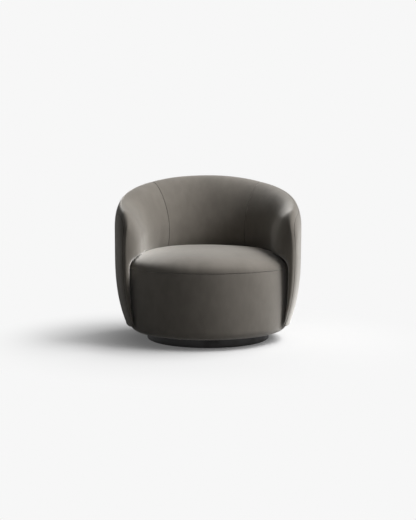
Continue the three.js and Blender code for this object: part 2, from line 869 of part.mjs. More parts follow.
function baseBoard() {
  const profile = [
    [0, boardBase],
    [frameRadius - baseBoardBevel, boardBase],
    [frameRadius, boardBase + baseBoardBevel],
    [frameRadius, boardTop],
    [0, boardTop],
  ];
  return cut(lathe(profile), [
    upright(pinHoleRadius, boardBase - overrun, boardTop + overrun),
    ...cornerDrills(screwRadius + gap, boardBase - overrun, boardTop + overrun),
  ]);
}

function deckPost([x, y]) {
  const place = (frameRadius - postInset) * Math.SQRT1_2;
  const low = boardTop + gap;
  const high = ringBase - gap;
  const post = new THREE.BoxGeometry(postSide, postSide, high - low);
  return post.translate(x * place, y * place, (low + high) / 2);
}

function drumBoard() {
  const inner = frameRadius + gap;
  return cut(ring(inner, inner + boardThickness, boardBase + baseBoardBevel, deckHeight), boltDrills);
}

function drumWadding() {
  const inner = frameRadius + boardThickness + 2 * gap;
  const top = foamBase - gap;
  const under = boardBase - gap;
  const profile = [
    [flapRadius, drumBase + skin],
    ...drumOutline(skin, top),
    [inner, top],
    [inner, boardBase + baseBoardBevel - gap],
    [frameRadius - baseBoardBevel, under],
    [flapRadius, under],
    [flapRadius, drumBase + skin],
  ];
  return cut(lathe(profile), boltDrills);
}

function boxingCover() {
  const top = seamHeight - seamGap / 2;
  const profile = [
    [flapRadius, drumBase],
    ...drumOutline(0, top),
    ...drumOutline(coverThickness, top).reverse(),
    [flapRadius, drumBase + coverThickness],
    [flapRadius, drumBase],
  ];
  return cut(lathe(profile), boltDrills);
}

function topCover() {
  const lift = seamGap / 2;
  const outside = crownOutline(0, lift);
  return lathe([...outside, ...crownOutline(coverThickness, lift).reverse(), outside[0]]);
}

function seatFoam() {
  return lathe([[0, foamBase], [drumSide(foamBase, skin), foamBase], ...crownOutline(skin)]);
}

class Serpentine extends THREE.Curve {
  constructor(x, halfLength) {
    super();
    this.x = x;
    this.halfLength = halfLength;
  }

  getPoint(share, target = new THREE.Vector3()) {
    const y = lerp(-this.halfLength, this.halfLength, share);
    const inner = this.halfLength - springSeatLength;
    const swing = Math.abs(y) < inner ? springSwing * Math.sin((Math.PI * springWaves * y) / inner) : 0;
    return target.set(this.x + swing, y, springHeight);
  }
}

function seatSpring(number) {
  const x = (number - (springCount + 1) / 2) * springSpacing;
  const halfLength = Math.sqrt((frameRadius - deckRingWidth) ** 2 - x ** 2) + springSeatLength;
  const section = new THREE.Shape(
    numbers(1, springWireSides).map((step) => {
      const turn = (2 * Math.PI * step) / springWireSides;
      return new THREE.Vector2(Math.cos(turn), Math.sin(turn)).multiplyScalar(springWire / 2);
    }),
  );
  const extrudePath = new Serpentine(x, halfLength);
  return new THREE.ExtrudeGeometry(section, { steps: 6 * springWaves, extrudePath, bevelEnabled: false });
}

// Finishes

function finish(color, roughness, metalness = 0) {
  return new THREE.MeshStandardMaterial({ color, roughness, metalness });
}

const velvet = finish(0x77726a, 0.85);
const blackPaint = finish(0x1b1a18, 0.7);
const zincSteel = finish(0x9a9c9e, 0.4, 0.9);
const springSteel = finish(0x5a5c5e, 0.45, 0.9);
const plywood = finish(0xc4a478, 0.7);
const timber = finish(0xb8905f, 0.75);
const fibreboard = finish(0x8a6c4c, 0.9);
const greyFelt = finish(0x4a4a4a, 0.95);
const creamFoam = finish(0xe6dcb8, 0.9);
const whiteWadding = finish(0xeeeeea, 0.95);
const blackLining = finish(0x222222, 0.95);

const chair = new THREE.Group();

function add(group, name, geometry, material) {
  const mesh = new THREE.Mesh(closedGeometry(geometry), material);
  mesh.name = name;
  group.add(mesh);
}

const base = new THREE.Group();
add(base, "plinth_felt", plinthFelt(), greyFelt);
add(base, "plinth_disc", plinthDisc(), blackPaint);
const lowerPlate = swivelPlate(lowerPlateBase, lowerLipOffset, true, pivotRadius + gap);
add(base, "swivel_lower_plate", lowerPlate, zincSteel);
add(base, "swivel_pivot_pin", pivotPin(), zincSteel);
corners.forEach((corner, i) => {
  add(base, "lower_plate_screw_" + (i + 1), screw(lowerPlateTop + gap, -1, screwLength, corner), zincSteel);
});

const bearing = new THREE.Group();
add(bearing, "ball_cage", ballCage(), zincSteel);

const drum = new THREE.Group();
const upperPlate = swivelPlate(upperPlateBase, upperLipOffset, false, pivotRadius + pivotClearance);
add(drum, "swivel_upper_plate", upperPlate, zincSteel);
corners.forEach((corner, i) => {
  add(drum, "upper_plate_screw_" + (i + 1), screw(upperPlateBase - gap, 1, boltLength, corner), zincSteel);
  add(drum, "deck_post_" + (i + 1), deckPost(corner), timber);
});
add(drum, "seat_base_board", baseBoard(), plywood);
const deckRing = ring(frameRadius - deckRingWidth, frameRadius, ringBase, deckHeight);
add(drum, "deck_ring", cut(deckRing, boltDrills), plywood);
add(drum, "drum_board", drumBoard(), fibreboard);
numbers(1, springCount).forEach((number) => {
  add(drum, "seat_spring_" + number, seatSpring(number), springSteel);
});
add(drum, "spring_felt", disc(frameRadius, deckFeltBase, deckFeltBase + deckFeltThickness), greyFelt);
add(drum, "seat_foam", seatFoam(), creamFoam);
add(drum, "drum_wadding", drumWadding(), whiteWadding);
add(drum, "seat_top_cover", topCover(), velvet);
add(drum, "seat_boxing_cover", boxingCover(), velvet);
const liningTop = boardBase - gap;
const lining = ring(dustCoverRadius, flapRadius - gap, liningTop - dustCoverThickness, liningTop);
add(drum, "dust_cover", lining, blackLining);

const shell = new THREE.Group();
add(shell, "shell_lower_rail", curvedRail(() => lowerRailBase, () => lowerRailTop), plywood);
add(shell, "shell_waist_rail", waistRail(), plywood);
add(shell, "shell_crest_rail", curvedRail(crestRailBase, crestRailTop), plywood);
const ribPlaces = [...ribAngles.slice(1).reverse().map((angle) => -angle), ...ribAngles];
ribPlaces.forEach((angle, i) => add(shell, "shell_rib_" + (i + 1), rib(angle), plywood));
add(shell, "inner_board", innerBoard(), fibreboard);
add(shell, "outer_board", outerLayer(boardInset, boardThickness, 2), fibreboard);
add(shell, "outer_wadding", outerLayer(skin, waddingThickness, 1), whiteWadding);
add(shell, "back_foam", padFoam(backColumns), creamFoam);
add(shell, "inner_back_cover", innerBackCover(), velvet);
add(shell, "outer_back_cover", outerCover(backColumns, 1), velvet);
for (const [name, side] of [["left", 1], ["right", -1]]) {
  add(shell, "arm_foam_" + name, padFoam(armColumns).scale(side, 1, 1), creamFoam);
  add(shell, "arm_front_pad_" + name, armFrontPad().scale(side, 1, 1), creamFoam);
  add(shell, "inner_arm_cover_" + name, innerArmCover(side), velvet);
  add(shell, "outer_arm_cover_" + name, outerCover([...armColumns, ...noseAngles], side), velvet);
}
for (const [name, angle] of Object.entries(shellBoltAngles)) {
  add(shell, "shell_bolt_" + name, shellBolt(angle), zincSteel);
}

chair.add(base, bearing, drum, shell);

export default chair;
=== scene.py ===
import json
import math

import bmesh
import bpy
import numpy as np
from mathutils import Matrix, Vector
from mathutils.kdtree import KDTree


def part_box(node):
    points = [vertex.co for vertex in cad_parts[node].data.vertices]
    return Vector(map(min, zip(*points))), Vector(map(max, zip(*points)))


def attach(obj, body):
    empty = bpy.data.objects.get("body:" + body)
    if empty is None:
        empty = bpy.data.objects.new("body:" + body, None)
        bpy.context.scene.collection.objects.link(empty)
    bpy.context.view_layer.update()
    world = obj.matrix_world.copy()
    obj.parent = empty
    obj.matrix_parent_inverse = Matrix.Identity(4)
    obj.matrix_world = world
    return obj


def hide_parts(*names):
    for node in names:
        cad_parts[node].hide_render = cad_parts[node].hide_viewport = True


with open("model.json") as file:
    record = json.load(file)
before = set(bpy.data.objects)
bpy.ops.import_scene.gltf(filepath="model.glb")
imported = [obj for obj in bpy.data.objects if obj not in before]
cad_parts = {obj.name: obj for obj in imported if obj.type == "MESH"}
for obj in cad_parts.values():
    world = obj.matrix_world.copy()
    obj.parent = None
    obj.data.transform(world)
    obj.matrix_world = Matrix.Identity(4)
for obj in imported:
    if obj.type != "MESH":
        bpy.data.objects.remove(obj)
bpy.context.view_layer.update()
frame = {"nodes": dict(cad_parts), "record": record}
nodes = frame["nodes"]
print("frame loaded", len(nodes), "nodes")

studio = {
    "lens": 65.63,
    "camera": (-0.1254, -4.788, 0.841),
    "pitch": 5.3,
    "yaw": 1.5,
    "backdrop": 0.93,
    "aim": (0, 0, 0.35),
    "lamps": {
        "sideLamp": {"azimuth": 84.0, "elevation": 50.0, "away": 9.0, "size": 4.8, "level": 0.93},
        "rearLamp": {"azimuth": 122.0, "elevation": 50.0, "away": 9.0, "size": 4.0, "level": 0.46},
        "frontLamp": {"azimuth": 60.0, "elevation": 30.0, "away": 7.0, "size": 3.0, "level": 0.27},
    },
    "fill": 0.045,
    "fillColour": (0.98, 0.99, 1.0, 1),
}

scene = bpy.context.scene
scene.view_settings.view_transform = "Standard"

cameraData = bpy.data.cameras.new("camera")
cameraData.lens = studio["lens"]
camera = bpy.data.objects.new("camera", cameraData)
camera.location = studio["camera"]
camera.rotation_euler = (math.radians(90 - studio["pitch"]), 0, math.radians(-studio["yaw"]))
scene.collection.objects.link(camera)
scene.camera = camera


# azimuth 0 is in front of the chair and 90 on its right as the camera sees it;
# at level 1 a white surface that faces the lamp renders as white
def addLamp(name, azimuth, elevation, away, size, level):
    turn, rise = math.radians(azimuth), math.radians(elevation)
    toLamp = Vector((math.sin(turn) * math.cos(rise), -math.cos(turn) * math.cos(rise), math.sin(rise)))
    data = bpy.data.lights.new(name, "AREA")
    data.shape = "DISK"
    data.size = size
    data.energy = level * (math.pi * away) ** 2
    lamp = bpy.data.objects.new(name, data)
    lamp.location = Vector(studio["aim"]) + toLamp * away
    lamp.rotation_euler = toLamp.to_track_quat("Z", "Y").to_euler()
    scene.collection.objects.link(lamp)


for lampName, settings in studio["lamps"].items():
    addLamp(lampName, **settings)


def newTree(material):
    material.use_nodes = True
    tree = material.node_tree
    tree.nodes.clear()
    return tree


def node(tree, kind, place=(0, 0), **inputs):
    made = tree.nodes.new(kind)
    made.location = place
    for key, value in inputs.items():
        made.inputs[key.replace("_", " ")].default_value = value
    return made


def objectPlace(tree):
    return node(tree, "ShaderNodeTexCoord", (-900, 0)).outputs["Object"]


# 1 for what the camera sees straight, in a reflection or through glass
def seenRays(tree, x, y):
    path = node(tree, "ShaderNodeLightPath", (x, y))
    seen = path.outputs["Is Camera Ray"]
    for k, ray in enumerate(("Is Glossy Ray", "Is Transmission Ray")):
        either = node(tree, "ShaderNodeMath", (x + 200 * (k + 1), y))
        either.operation = "MAXIMUM"
        tree.links.new(seen, either.inputs[0])
        tree.links.new(path.outputs[ray], either.inputs[1])
        seen = either.outputs[0]
    return seen


# to the camera the studio is pale, and it lights the chair only softly
world = bpy.data.worlds.new("studio")
scene.world = world
tree = newTree(world)
pale = node(tree, "ShaderNodeBackground", (0, 100), Color=(studio["backdrop"],) * 3 + (1,), Strength=1.0)
soft = node(tree, "ShaderNodeBackground", (0, -100), Color=studio["fillColour"], Strength=studio["fill"])
mix = node(tree, "ShaderNodeMixShader", (250, 0))
out = node(tree, "ShaderNodeOutputWorld", (450, 0))
tree.links.new(seenRays(tree, -600, 200), mix.inputs[0])
tree.links.new(soft.outputs[0], mix.inputs[1])
tree.links.new(pale.outputs[0], mix.inputs[2])
tree.links.new(mix.outputs[0], out.inputs[0])

# the floor takes the chair's shadow and fades into the backdrop further out
floorLook = {
    "size": 60.0, "shown": 0.66, "bounced": 0.25, "glow": 0.11, "clearFrom": 0.3, "clearTo": 1.2,
}
bpy.ops.object.select_all(action="DESELECT")
bpy.ops.mesh.primitive_plane_add(size=floorLook["size"], location=(0, 0, 0))
floor = bpy.context.object
floor.name = "studioFloor"
floorMaterial = bpy.data.materials.new("studioFloor")
floor.data.materials.append(floorMaterial)
tree = newTree(floorMaterial)
distance = node(tree, "ShaderNodeVectorMath", (-700, 0))
distance.operation = "LENGTH"
clear = node(tree, "ShaderNodeMapRange", (-500, 0), From_Min=floorLook["clearFrom"],
             From_Max=floorLook["clearTo"])
clear.interpolation_type = "SMOOTHSTEP"
lit = node(tree, "ShaderNodeBsdfDiffuse", (-200, 100), Color=(floorLook["shown"],) * 3 + (1,))
bounced = node(tree, "ShaderNodeBsdfDiffuse", (-200, 250), Color=(floorLook["bounced"],) * 3 + (1,))
glow = node(tree, "ShaderNodeEmission", (-200, -50), Color=(1, 1, 1, 1), Strength=floorLook["glow"])
both = node(tree, "ShaderNodeAddShader", (0, 50))
paleFloor = node(tree, "ShaderNodeEmission", (0, -150), Color=(studio["backdrop"],) * 3 + (1,))
seen = seenRays(tree, -900, 400)
far = node(tree, "ShaderNodeMath", (-100, 300))
far.operation = "MULTIPLY"
faded = node(tree, "ShaderNodeMixShader", (250, 0))
plain = node(tree, "ShaderNodeMixShader", (450, 0))
out = node(tree, "ShaderNodeOutputMaterial", (650, 0))
tree.links.new(objectPlace(tree), distance.inputs[0])
tree.links.new(distance.outputs["Value"], clear.inputs["Value"])
tree.links.new(lit.outputs[0], both.inputs[0])
tree.links.new(glow.outputs[0], both.inputs[1])
tree.links.new(seen, far.inputs[0])
tree.links.new(clear.outputs[0], far.inputs[1])
tree.links.new(far.outputs[0], faded.inputs[0])
tree.links.new(both.outputs[0], faded.inputs[1])
tree.links.new(paleFloor.outputs[0], faded.inputs[2])
tree.links.new(seen, plain.inputs[0])
tree.links.new(bounced.outputs[0], plain.inputs[1])
tree.links.new(faded.outputs[0], plain.inputs[2])
tree.links.new(plain.outputs[0], out.inputs[0])
print("studio ready")

# sizes of the seat drum and of the shell round it, in metres and degrees from the middle of the back
drum = {
    "radius": 0.400, "swell": 0.005, "corner": 0.038, "base": 0.050, "seam": 0.366, "crown": 0.098,
    "crownPower": 3.2, "flap": 0.354, "foamBase": 0.3009, "seamGap": 0.0002,
}
shell = {
    "radius": 0.470, "clearance": 0.003, "shoulder": 0.005, "hem": 0.079, "hemTuck": 0.056, "hemPower": 2.5,
    "widest": 0.437, "backHeight": 0.824, "armHeight": 0.694, "crestSetback": 0.038, "crestRoll": 0.120,
    "frontCorner": 0.088, "frontHemRise": 0.025, "padDepth": 0.108, "armPadDepth": 0.081, "padPower": 1.6,
    "lipFlare": 0.019, "lipShare": 0.76, "bulgeShare": 0.3, "noseShare": 0.75, "rimShare": 0.35,
    "seamDrop": 0.027, "frontSetback": 0.017, "seamGap": 0.0002, "backSeam": 42.0, "backSeamGap": 0.025,
    "frameEnd": 105.0, "armEnd": 118.0, "outerNose": 111.0, "innerNose": 85.0, "nosePower": 2.4,
    "padFadeFrom": 45.0, "padFadeTo": 90.0, "skin": 0.0031, "railTop": 0.290, "crestRailDrop": 0.055,
    "frameLean": 0.012, "boardGap": 0.0003,
}
swellHeight = (drum["base"] + drum["corner"] + drum["seam"]) / 2
cornerHeight = drum["base"] + drum["corner"]


def drumSide(height):
    away = (height - swellHeight) / (drum["seam"] - swellHeight)
    return drum["radius"] + drum["swell"] * (1 - away * away)


cornerMiddle = drumSide(cornerHeight) - drum["corner"]
crestRadius = shell["radius"] - shell["crestSetback"]
lipHeight = drum["seam"] + drum["crown"] * shell["lipShare"]


def smoothStep(x, low, high):
    t = np.clip((x - low) / (high - low), 0, 1)
    return t * t * (3 - 2 * t)


def arcAngle(length):
    return math.degrees(length / shell["radius"])


def lerp(a, b, share):
    return a + (b - a) * share


def polar(angle, radius, height):
    turn = np.radians(angle)
    return np.stack(np.broadcast_arrays(radius * np.sin(turn), radius * np.cos(turn), height), axis=-1)


cornerStart = shell["armEnd"] - arcAngle(shell["frontCorner"])


# 1 up to a plan angle, then down to 0 at the arm's front edge along a quarter circle, or fuller than one
def fade(angle, start, inset=0.0, power=2.0):
    end = shell["armEnd"] - arcAngle(inset)
    along = np.clip((np.abs(angle) - start) / (end - start), 0, 1)
    return (1 - along ** power) ** (1 / power)


def crestHeight(angle, inset=0.0):
    sloped = shell["armHeight"] + (shell["backHeight"] - shell["armHeight"]) * np.cos(np.radians(angle))
    return sloped - inset - (shell["frontCorner"] - inset) * (1 - fade(angle, cornerStart, inset))


def hemLine(angle):
    return shell["hem"] + shell["frontHemRise"] * (1 - fade(angle, cornerStart))


def shellInside(height):
    low = np.clip(cornerHeight - height, 0, drum["corner"])
    inside = cornerMiddle + np.sqrt(drum["corner"] ** 2 - low ** 2)
    inside = np.where(height >= cornerHeight, drumSide(np.minimum(height, drum["seam"])), inside)
    return inside + shell["clearance"]


def shellSide(height):
    below = np.maximum(0, (shell["widest"] - height) / (shell["widest"] - shell["hem"]))
    return shell["radius"] - shell["hemTuck"] * below ** shell["hemPower"]


def noseRadius(height):
    return lerp(shellInside(height), shellSide(height), shell["noseShare"])


def outerRadius(angle, height, inset=0.0):
    up = np.clip((height - crestHeight(angle, inset) + shell["crestRoll"]) / shell["crestRoll"], 0, 1)
    rolled = lerp(crestRadius, shellSide(height) - inset, np.sqrt(1 - up * up))
    return lerp(noseRadius(height), rolled, fade(angle, shell["outerNose"], inset, shell["nosePower"]))


def bulgeHeight(angle):
    return lipHeight + shell["bulgeShare"] * (crestHeight(angle) - lipHeight)


def innerRadius(angle, height, inset=0.0):
    angle, height = np.broadcast_arrays(np.asarray(angle, float), np.asarray(height, float))
    armward = smoothStep(np.abs(angle), shell["padFadeFrom"], shell["padFadeTo"])
    padDepth = lerp(shell["padDepth"], shell["armPadDepth"], armward)
    bulge = drum["radius"] + shell["clearance"] - padDepth + inset
    bulgeAt = bulgeHeight(angle)
    up = np.clip((height - bulgeAt) / (crestHeight(angle, inset) - bulgeAt), 0, 1)
    curl = (1 - up ** shell["padPower"]) ** (1 / shell["padPower"])
    above = (crestRadius - bulge) * curl
    down = np.clip((bulgeAt - height) / (bulgeAt - lipHeight), 0, 1)
    rise = np.clip((height - drum["seam"]) / drum["crown"], 0, 1)
    crown = drum["radius"] * (1 - rise ** 2) ** (1 / drum["crownPower"]) + shell["shoulder"] + inset
    between = crestRadius - np.maximum(bulge + shell["lipFlare"] * (1 - armward) * down ** 3, crown)
    below = crestRadius - shellInside(height) - inset
    depth = np.where(height >= bulgeAt, above, np.where(height < drum["seam"], below, between))
    share = np.where(height >= bulgeAt, curl, 1.0)
    opened = fade(angle, shell["innerNose"], inset, shell["nosePower"])
    outward = noseRadius(height) - crestRadius
    shift = lerp(1 - fade(angle, shell["outerNose"], inset, shell["nosePower"]), 1 - opened, share)
    return crestRadius + outward * shift - depth * opened


def crestRailTop(angle):
    return crestHeight(angle) - shell["crestRailDrop"]


def frameInside(angle, height):
    wall = innerRadius(angle, np.minimum(height, drum["seam"]), shell["skin"]) + shell["boardGap"]
    rise = (height - drum["seam"]) / (crestRailTop(angle) - drum["seam"])
    return wall + shell["frameLean"] * np.maximum(0, rise)


# a place between the crest line or front edge, share 0, and the seam beside it, share 1
def besideCrest(angle, height, share, extra=0.0):
    turn = np.arccos(fade(angle, cornerStart))
    away = lerp(shell["seamDrop"], shell["frontSetback"], np.sin(turn)) * share + extra
    return np.abs(angle) - arcAngle(1) * away * np.sin(turn), height - away * np.cos(turn)


# closer rows beside a seam, so that the cloth can turn down into it
seamSteps = np.array([0, 0.0007, 0.0016, 0.0028, 0.0042, 0.006, 0.009, 0.014])
# places measured along a seam for each of its corners, and the least length that is divided by
seamWalk = 12
tiny = 1e-12


def spread(low, high, step, beforeSeam=False, afterSeam=False, unit=1.0):
    first = low + seamSteps / unit if afterSeam else np.array([low])
    last = high - seamSteps[::-1] / unit if beforeSeam else np.array([high])
    count = max(2, int(round((last[0] - first[-1]) / (step / unit))))
    middle = np.linspace(first[-1], last[0], count + 1)[1:-1]
    return np.concatenate([first, middle, last])


# an uneven, lightly filled surface: a few slow waves added together, the same on every run
slowWaves = {"count": 9, "shortest": 0.7, "longest": 1.6}


def softness(points, seed, size, height):
    random = np.random.default_rng(seed)
    total = np.zeros(len(points))
    for _ in range(slowWaves["count"]):
        direction = random.normal(size=3)
        direction /= np.linalg.norm(direction)
        pitch = size * random.uniform(slowWaves["shortest"], slowWaves["longest"])
        total += np.sin(points @ direction * 2 * math.pi / pitch + random.uniform(0, 2 * math.pi))
    return total * height / math.sqrt(slowWaves["count"])


def facesOf(grid, wrap=False):
    rows = range(len(grid) if wrap else len(grid) - 1)
    found = []
    for i in rows:
        near, far = grid[i], grid[(i + 1) % len(grid)]
        for j in range(len(near) - 1):
            found.append((near[j], far[j], far[j + 1], near[j + 1]))
    return found


def pointNormals(points, faces):
    quads = np.array(faces)
    a, b, c, d = (points[quads[:, k]] for k in range(4))
    across = np.cross(c - a, d - b)
    normals = np.zeros_like(points)
    for k in range(4):
        np.add.at(normals, quads[:, k], across)
    length = np.linalg.norm(normals, axis=1, keepdims=True)
    return normals / np.maximum(length, tiny)


# all normals are turned over where the one at the probe point looks the wrong way
def facing(normals, probe, way):
    return -normals if normals[probe] @ way < 0 else normals


# the mean of each point's neighbours, along the edges that end at it
def neighbourMean(values, ends):
    total = np.zeros(values.shape)
    joined = np.zeros(len(values))
    for a, b in ((0, 1), (1, 0)):
        np.add.at(total, ends[:, a], values[ends[:, b]])
        np.add.at(joined, ends[:, a], 1)
    return total / np.maximum(joined, 1)[:, None]


# how far each point lies from the nearest seam, and how far along that seam
def seamPlaces(points, seams):
    walk = KDTree(sum(max(2, len(line) * seamWalk) for line in seams))
    runs = []
    for line in seams:
        corners = points[line]
        steps = np.linalg.norm(np.diff(corners, axis=0), axis=1)
        run = np.concatenate([[0], np.cumsum(steps)])
        for at in np.linspace(0, run[-1], max(2, len(line) * seamWalk)):
            k = min(len(steps) - 1, max(0, int(np.searchsorted(run, at)) - 1))
            share = (at - run[k]) / max(steps[k], tiny)
            walk.insert(Vector(lerp(corners[k], corners[k + 1], share)), len(runs))
            runs.append(at)
    walk.balance()
    away = np.empty(len(points))
    along = np.empty(len(points))
    for i, point in enumerate(points):
        _, number, distance = walk.find(Vector(point))
        away[i] = distance
        along[i] = runs[number]
    return away, along


# the cloth turns down into a seam on a small radius and sinks a little beside it
def seamDrop(away, radius, sink, reach):
    inside = np.clip(radius - away, 0, radius)
    return radius - np.sqrt(radius ** 2 - inside ** 2) + sink * np.exp(-(away / reach) ** 2)


# a pad is closed: its face, its back and the strip between them
padMaking = {"mergeWithin": 2e-5, "hiddenAway": 1.0}


def buildPad(name, face, back, faces, away, along, replaces):
    edges = {}
    for corners in faces:
        for k in range(4):
            a, b = corners[k], corners[(k + 1) % 4]
            if (b, a) in edges:
                del edges[(b, a)]
            else:
                edges[(a, b)] = True
    count = len(face)
    polygons = [tuple(corners) for corners in faces]
    polygons += [tuple(count + k for k in reversed(corners)) for corners in faces]
    polygons += [(b, a, count + a, count + b) for a, b in edges]
    mesh = bpy.data.meshes.new(name)
    mesh.from_pydata(np.vstack([face, back]).tolist(), [], polygons)
    pad = bpy.data.objects.new(name, mesh)
    scene.collection.objects.link(pad)
    hidden = np.full(count, padMaking["hiddenAway"])
    for label, values in (("seamAway", away), ("seamRun", along)):
        attribute = mesh.attributes.new(label, "FLOAT", "POINT")
        attribute.data.foreach_set("value", np.concatenate([values, hidden]).astype(np.float32))
    work = bmesh.new()
    work.from_mesh(mesh)
    bmesh.ops.remove_doubles(work, verts=work.verts, dist=padMaking["mergeWithin"])
    bmesh.ops.dissolve_degenerate(work, edges=work.edges, dist=padMaking["mergeWithin"])
    bmesh.ops.recalc_face_normals(work, faces=work.faces)
    work.to_mesh(mesh)
    work.free()
    mesh.polygons.foreach_set("use_smooth", [True] * len(mesh.polygons))
    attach(pad, "seat")
    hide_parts(*replaces)
    return pad


# seat drum: a crowned cushion over a tall band
seatCushion = {
    "columnStep": 0.0085, "rowStep": 0.008, "curvePoints": 181, "inside": 0.3962, "seamRadius": 0.003,
    "sink": 0.0010, "reach": 0.018, "wave": 0.22, "waveHeight": 0.0011, "waveFrom": 0.05, "seed": 11,
    "fill": 0.8,
}


def latheGrid(profile, columns):
    turns = np.linspace(0, 360, columns, endpoint=False)
    grid = polar(turns[:, None], profile[None, :, 0], profile[None, :, 1])
    numbers = np.arange(grid.shape[0] * grid.shape[1]).reshape(grid.shape[:2])
    return grid.reshape(-1, 3), numbers


def evenly(profile, step, closeAtEnd=False, closeAtStart=False):
    corners = np.array(profile, float)
    run = np.concatenate([[0], np.cumsum(np.linalg.norm(np.diff(corners, axis=0), axis=1))])
    places = spread(0, run[-1], step, closeAtEnd, closeAtStart)
    return np.stack([np.interp(places, run, corners[:, 0]), np.interp(places, run, corners[:, 1])], axis=1)


turns = np.linspace(0, math.pi / 2, seatCushion["curvePoints"])
crownCurve = np.stack([
    drum["radius"] * np.maximum(np.cos(turns), 0) ** (2 / drum["crownPower"]),
    drum["seam"] + drum["seamGap"] + (drum["crown"] - drum["seamGap"]) * np.sin(turns),
], axis=1)
crownRows = evenly(crownCurve[::-1], seatCushion["rowStep"], closeAtEnd=True)
columnCount = int(2 * math.pi * drum["radius"] / seatCushion["columnStep"])
top, numbers = latheGrid(crownRows, columnCount)
faces = facesOf(numbers, wrap=True)
away, along = seamPlaces(top, [list(numbers[:, -1]) + [numbers[0, -1]]])
normals = facing(pointNormals(top, faces), numbers[0, 0], np.array([0, 0, 1]))
seatDrop = seamDrop(away, seatCushion["seamRadius"], seatCushion["sink"], seatCushion["reach"])
settle = softness(top, seatCushion["seed"], seatCushion["wave"], seatCushion["waveHeight"])
settle *= np.clip(away / seatCushion["waveFrom"], 0, 1)
top = top + normals * (settle - seatDrop)[:, None]
bottom = top.copy()
outward = np.hypot(top[:, 0], top[:, 1])
inward = np.minimum(outward, seatCushion["inside"]) / np.maximum(outward, tiny)
bottom[:, :2] *= inward[:, None]
bottom[:, 2] = drum["foamBase"]
cushion = buildPad("seatCushion", top, bottom, faces, away, along, ("seat_top_cover", "seat_foam"))
print("seat cushion", len(cushion.data.polygons), "faces")

# the tall band round the drum turns under the seat and stays clear of the floor
seatBand = {
    "rowStep": 0.009, "sidePoints": 60, "cornerPoints": 24, "seamRadius": 0.003, "sink": 0.0009,
    "reach": 0.016, "wave": 0.3, "waveHeight": 0.0007, "waveFrom": 0.05, "seed": 5, "cloth": 0.0028,
    "wadding": 0.018, "waddingBase": (0.085, 0.12), "waddingTop": (0.27, 0.295), "sideRow": 20, "fill": 0.9,
}
fall = np.linspace(drum["seam"] - drum["seamGap"], cornerHeight, seatBand["sidePoints"])
turns = np.linspace(0, math.pi / 2, seatBand["cornerPoints"])[1:]
cornerOut = cornerMiddle + drum["corner"] * np.cos(turns)
cornerDown = cornerHeight - drum["corner"] * np.sin(turns)
bandCurve = np.concatenate([
    np.stack([drumSide(fall), fall], axis=1),
    np.stack([cornerOut, cornerDown], axis=1),
    [[drum["flap"], drum["base"]]],
])
band, numbers = latheGrid(evenly(bandCurve, seatBand["rowStep"], closeAtStart=True), columnCount)
faces = facesOf(numbers, wrap=True)
away, along = seamPlaces(band, [list(numbers[:, 0]) + [numbers[0, 0]]])
onSide = numbers[0, seatBand["sideRow"]]
normals = facing(pointNormals(band, faces), onSide, band[onSide])
bandDrop = seamDrop(away, seatBand["seamRadius"], seatBand["sink"], seatBand["reach"])
settle = softness(band, seatBand["seed"], seatBand["wave"], seatBand["waveHeight"])
settle *= np.clip(away / seatBand["waveFrom"], 0, 1)
band = band + normals * (settle - bandDrop)[:, None]
stuffed = smoothStep(band[:, 2], *seatBand["waddingBase"])
stuffed *= 1 - smoothStep(band[:, 2], *seatBand["waddingTop"])
bandBack = band - normals * (seatBand["cloth"] + seatBand["wadding"] * stuffed)[:, None]
bandPiece = buildPad("seatBand", band, bandBack, faces, away, along, ("seat_boxing_cover", "drum_wadding"))
print("seat band", len(bandPiece.data.polygons), "faces")

# the shell's inner face: one pad at the back and one in each arm, which runs on round the arm's front
shellPad = {
    "columnStep": 0.0095, "noseColumns": 64, "hiddenRows": 10, "bulgeRows": 12, "crestRows": 34,
    "crestCrowding": 1.7, "rollRows": 9, "rollCrowding": 1.5, "seamRadius": 0.003, "sink": 0.0010,
    "reach": 0.02, "wave": 0.26, "waveHeight": 0.0012, "waveFrom": 0.06, "waveRise": (0.40, 0.46),
    "seed": 23, "flapBelowRail": 0.006, "cloth": 0.0028, "backGap": 0.0006, "stripShort": 0.005,
    "tipDepth": 0.010, "faceShare": 0.45, "stripShare": 0.55, "easeReach": 0.022, "easeCoreShare": 0.4,
    "easeStep": 0.5, "easeRounds": 60, "fill": 0.8,
}
perDegree = shell["radius"] * math.pi / 180
closeShares = 1 - seamSteps[::-1] / shell["seamDrop"]
rollShares = np.linspace(0, 1, shellPad["rollRows"])[1:-1] ** shellPad["rollCrowding"] * closeShares[0]
rollShares = np.concatenate([rollShares, closeShares])
innerSeam = shell["backSeam"] - shell["backSeamGap"]
outerSeam = shell["backSeam"] + shell["backSeamGap"]


def innerHeights(angle, low):
    bulgeAt, top = bulgeHeight(angle), crestHeight(angle)
    rise = 1 - (1 - np.linspace(0, 1, shellPad["crestRows"])[1:]) ** shellPad["crestCrowding"]
    return np.concatenate([
        np.linspace(low, drum["seam"], shellPad["hiddenRows"])[:-1],
        np.linspace(drum["seam"], lipHeight, shellPad["hiddenRows"])[:-1],
        np.linspace(lipHeight, bulgeAt, shellPad["bulgeRows"]),
        bulgeAt + (top - bulgeAt) * rise,
    ])


def outerPoint(angle, height):
    kept = np.minimum(height, crestHeight(angle))
    return polar(angle, outerRadius(angle, kept), kept)


# the row k of the roll that runs from the crest line or front edge over to the seam
def rollPlace(angle, height, k):
    share = rollShares[k]
    turned, low = besideCrest(angle, height, share, -shell["seamGap"] if share == 1 else 0.0)
    return float(turned), float(low)


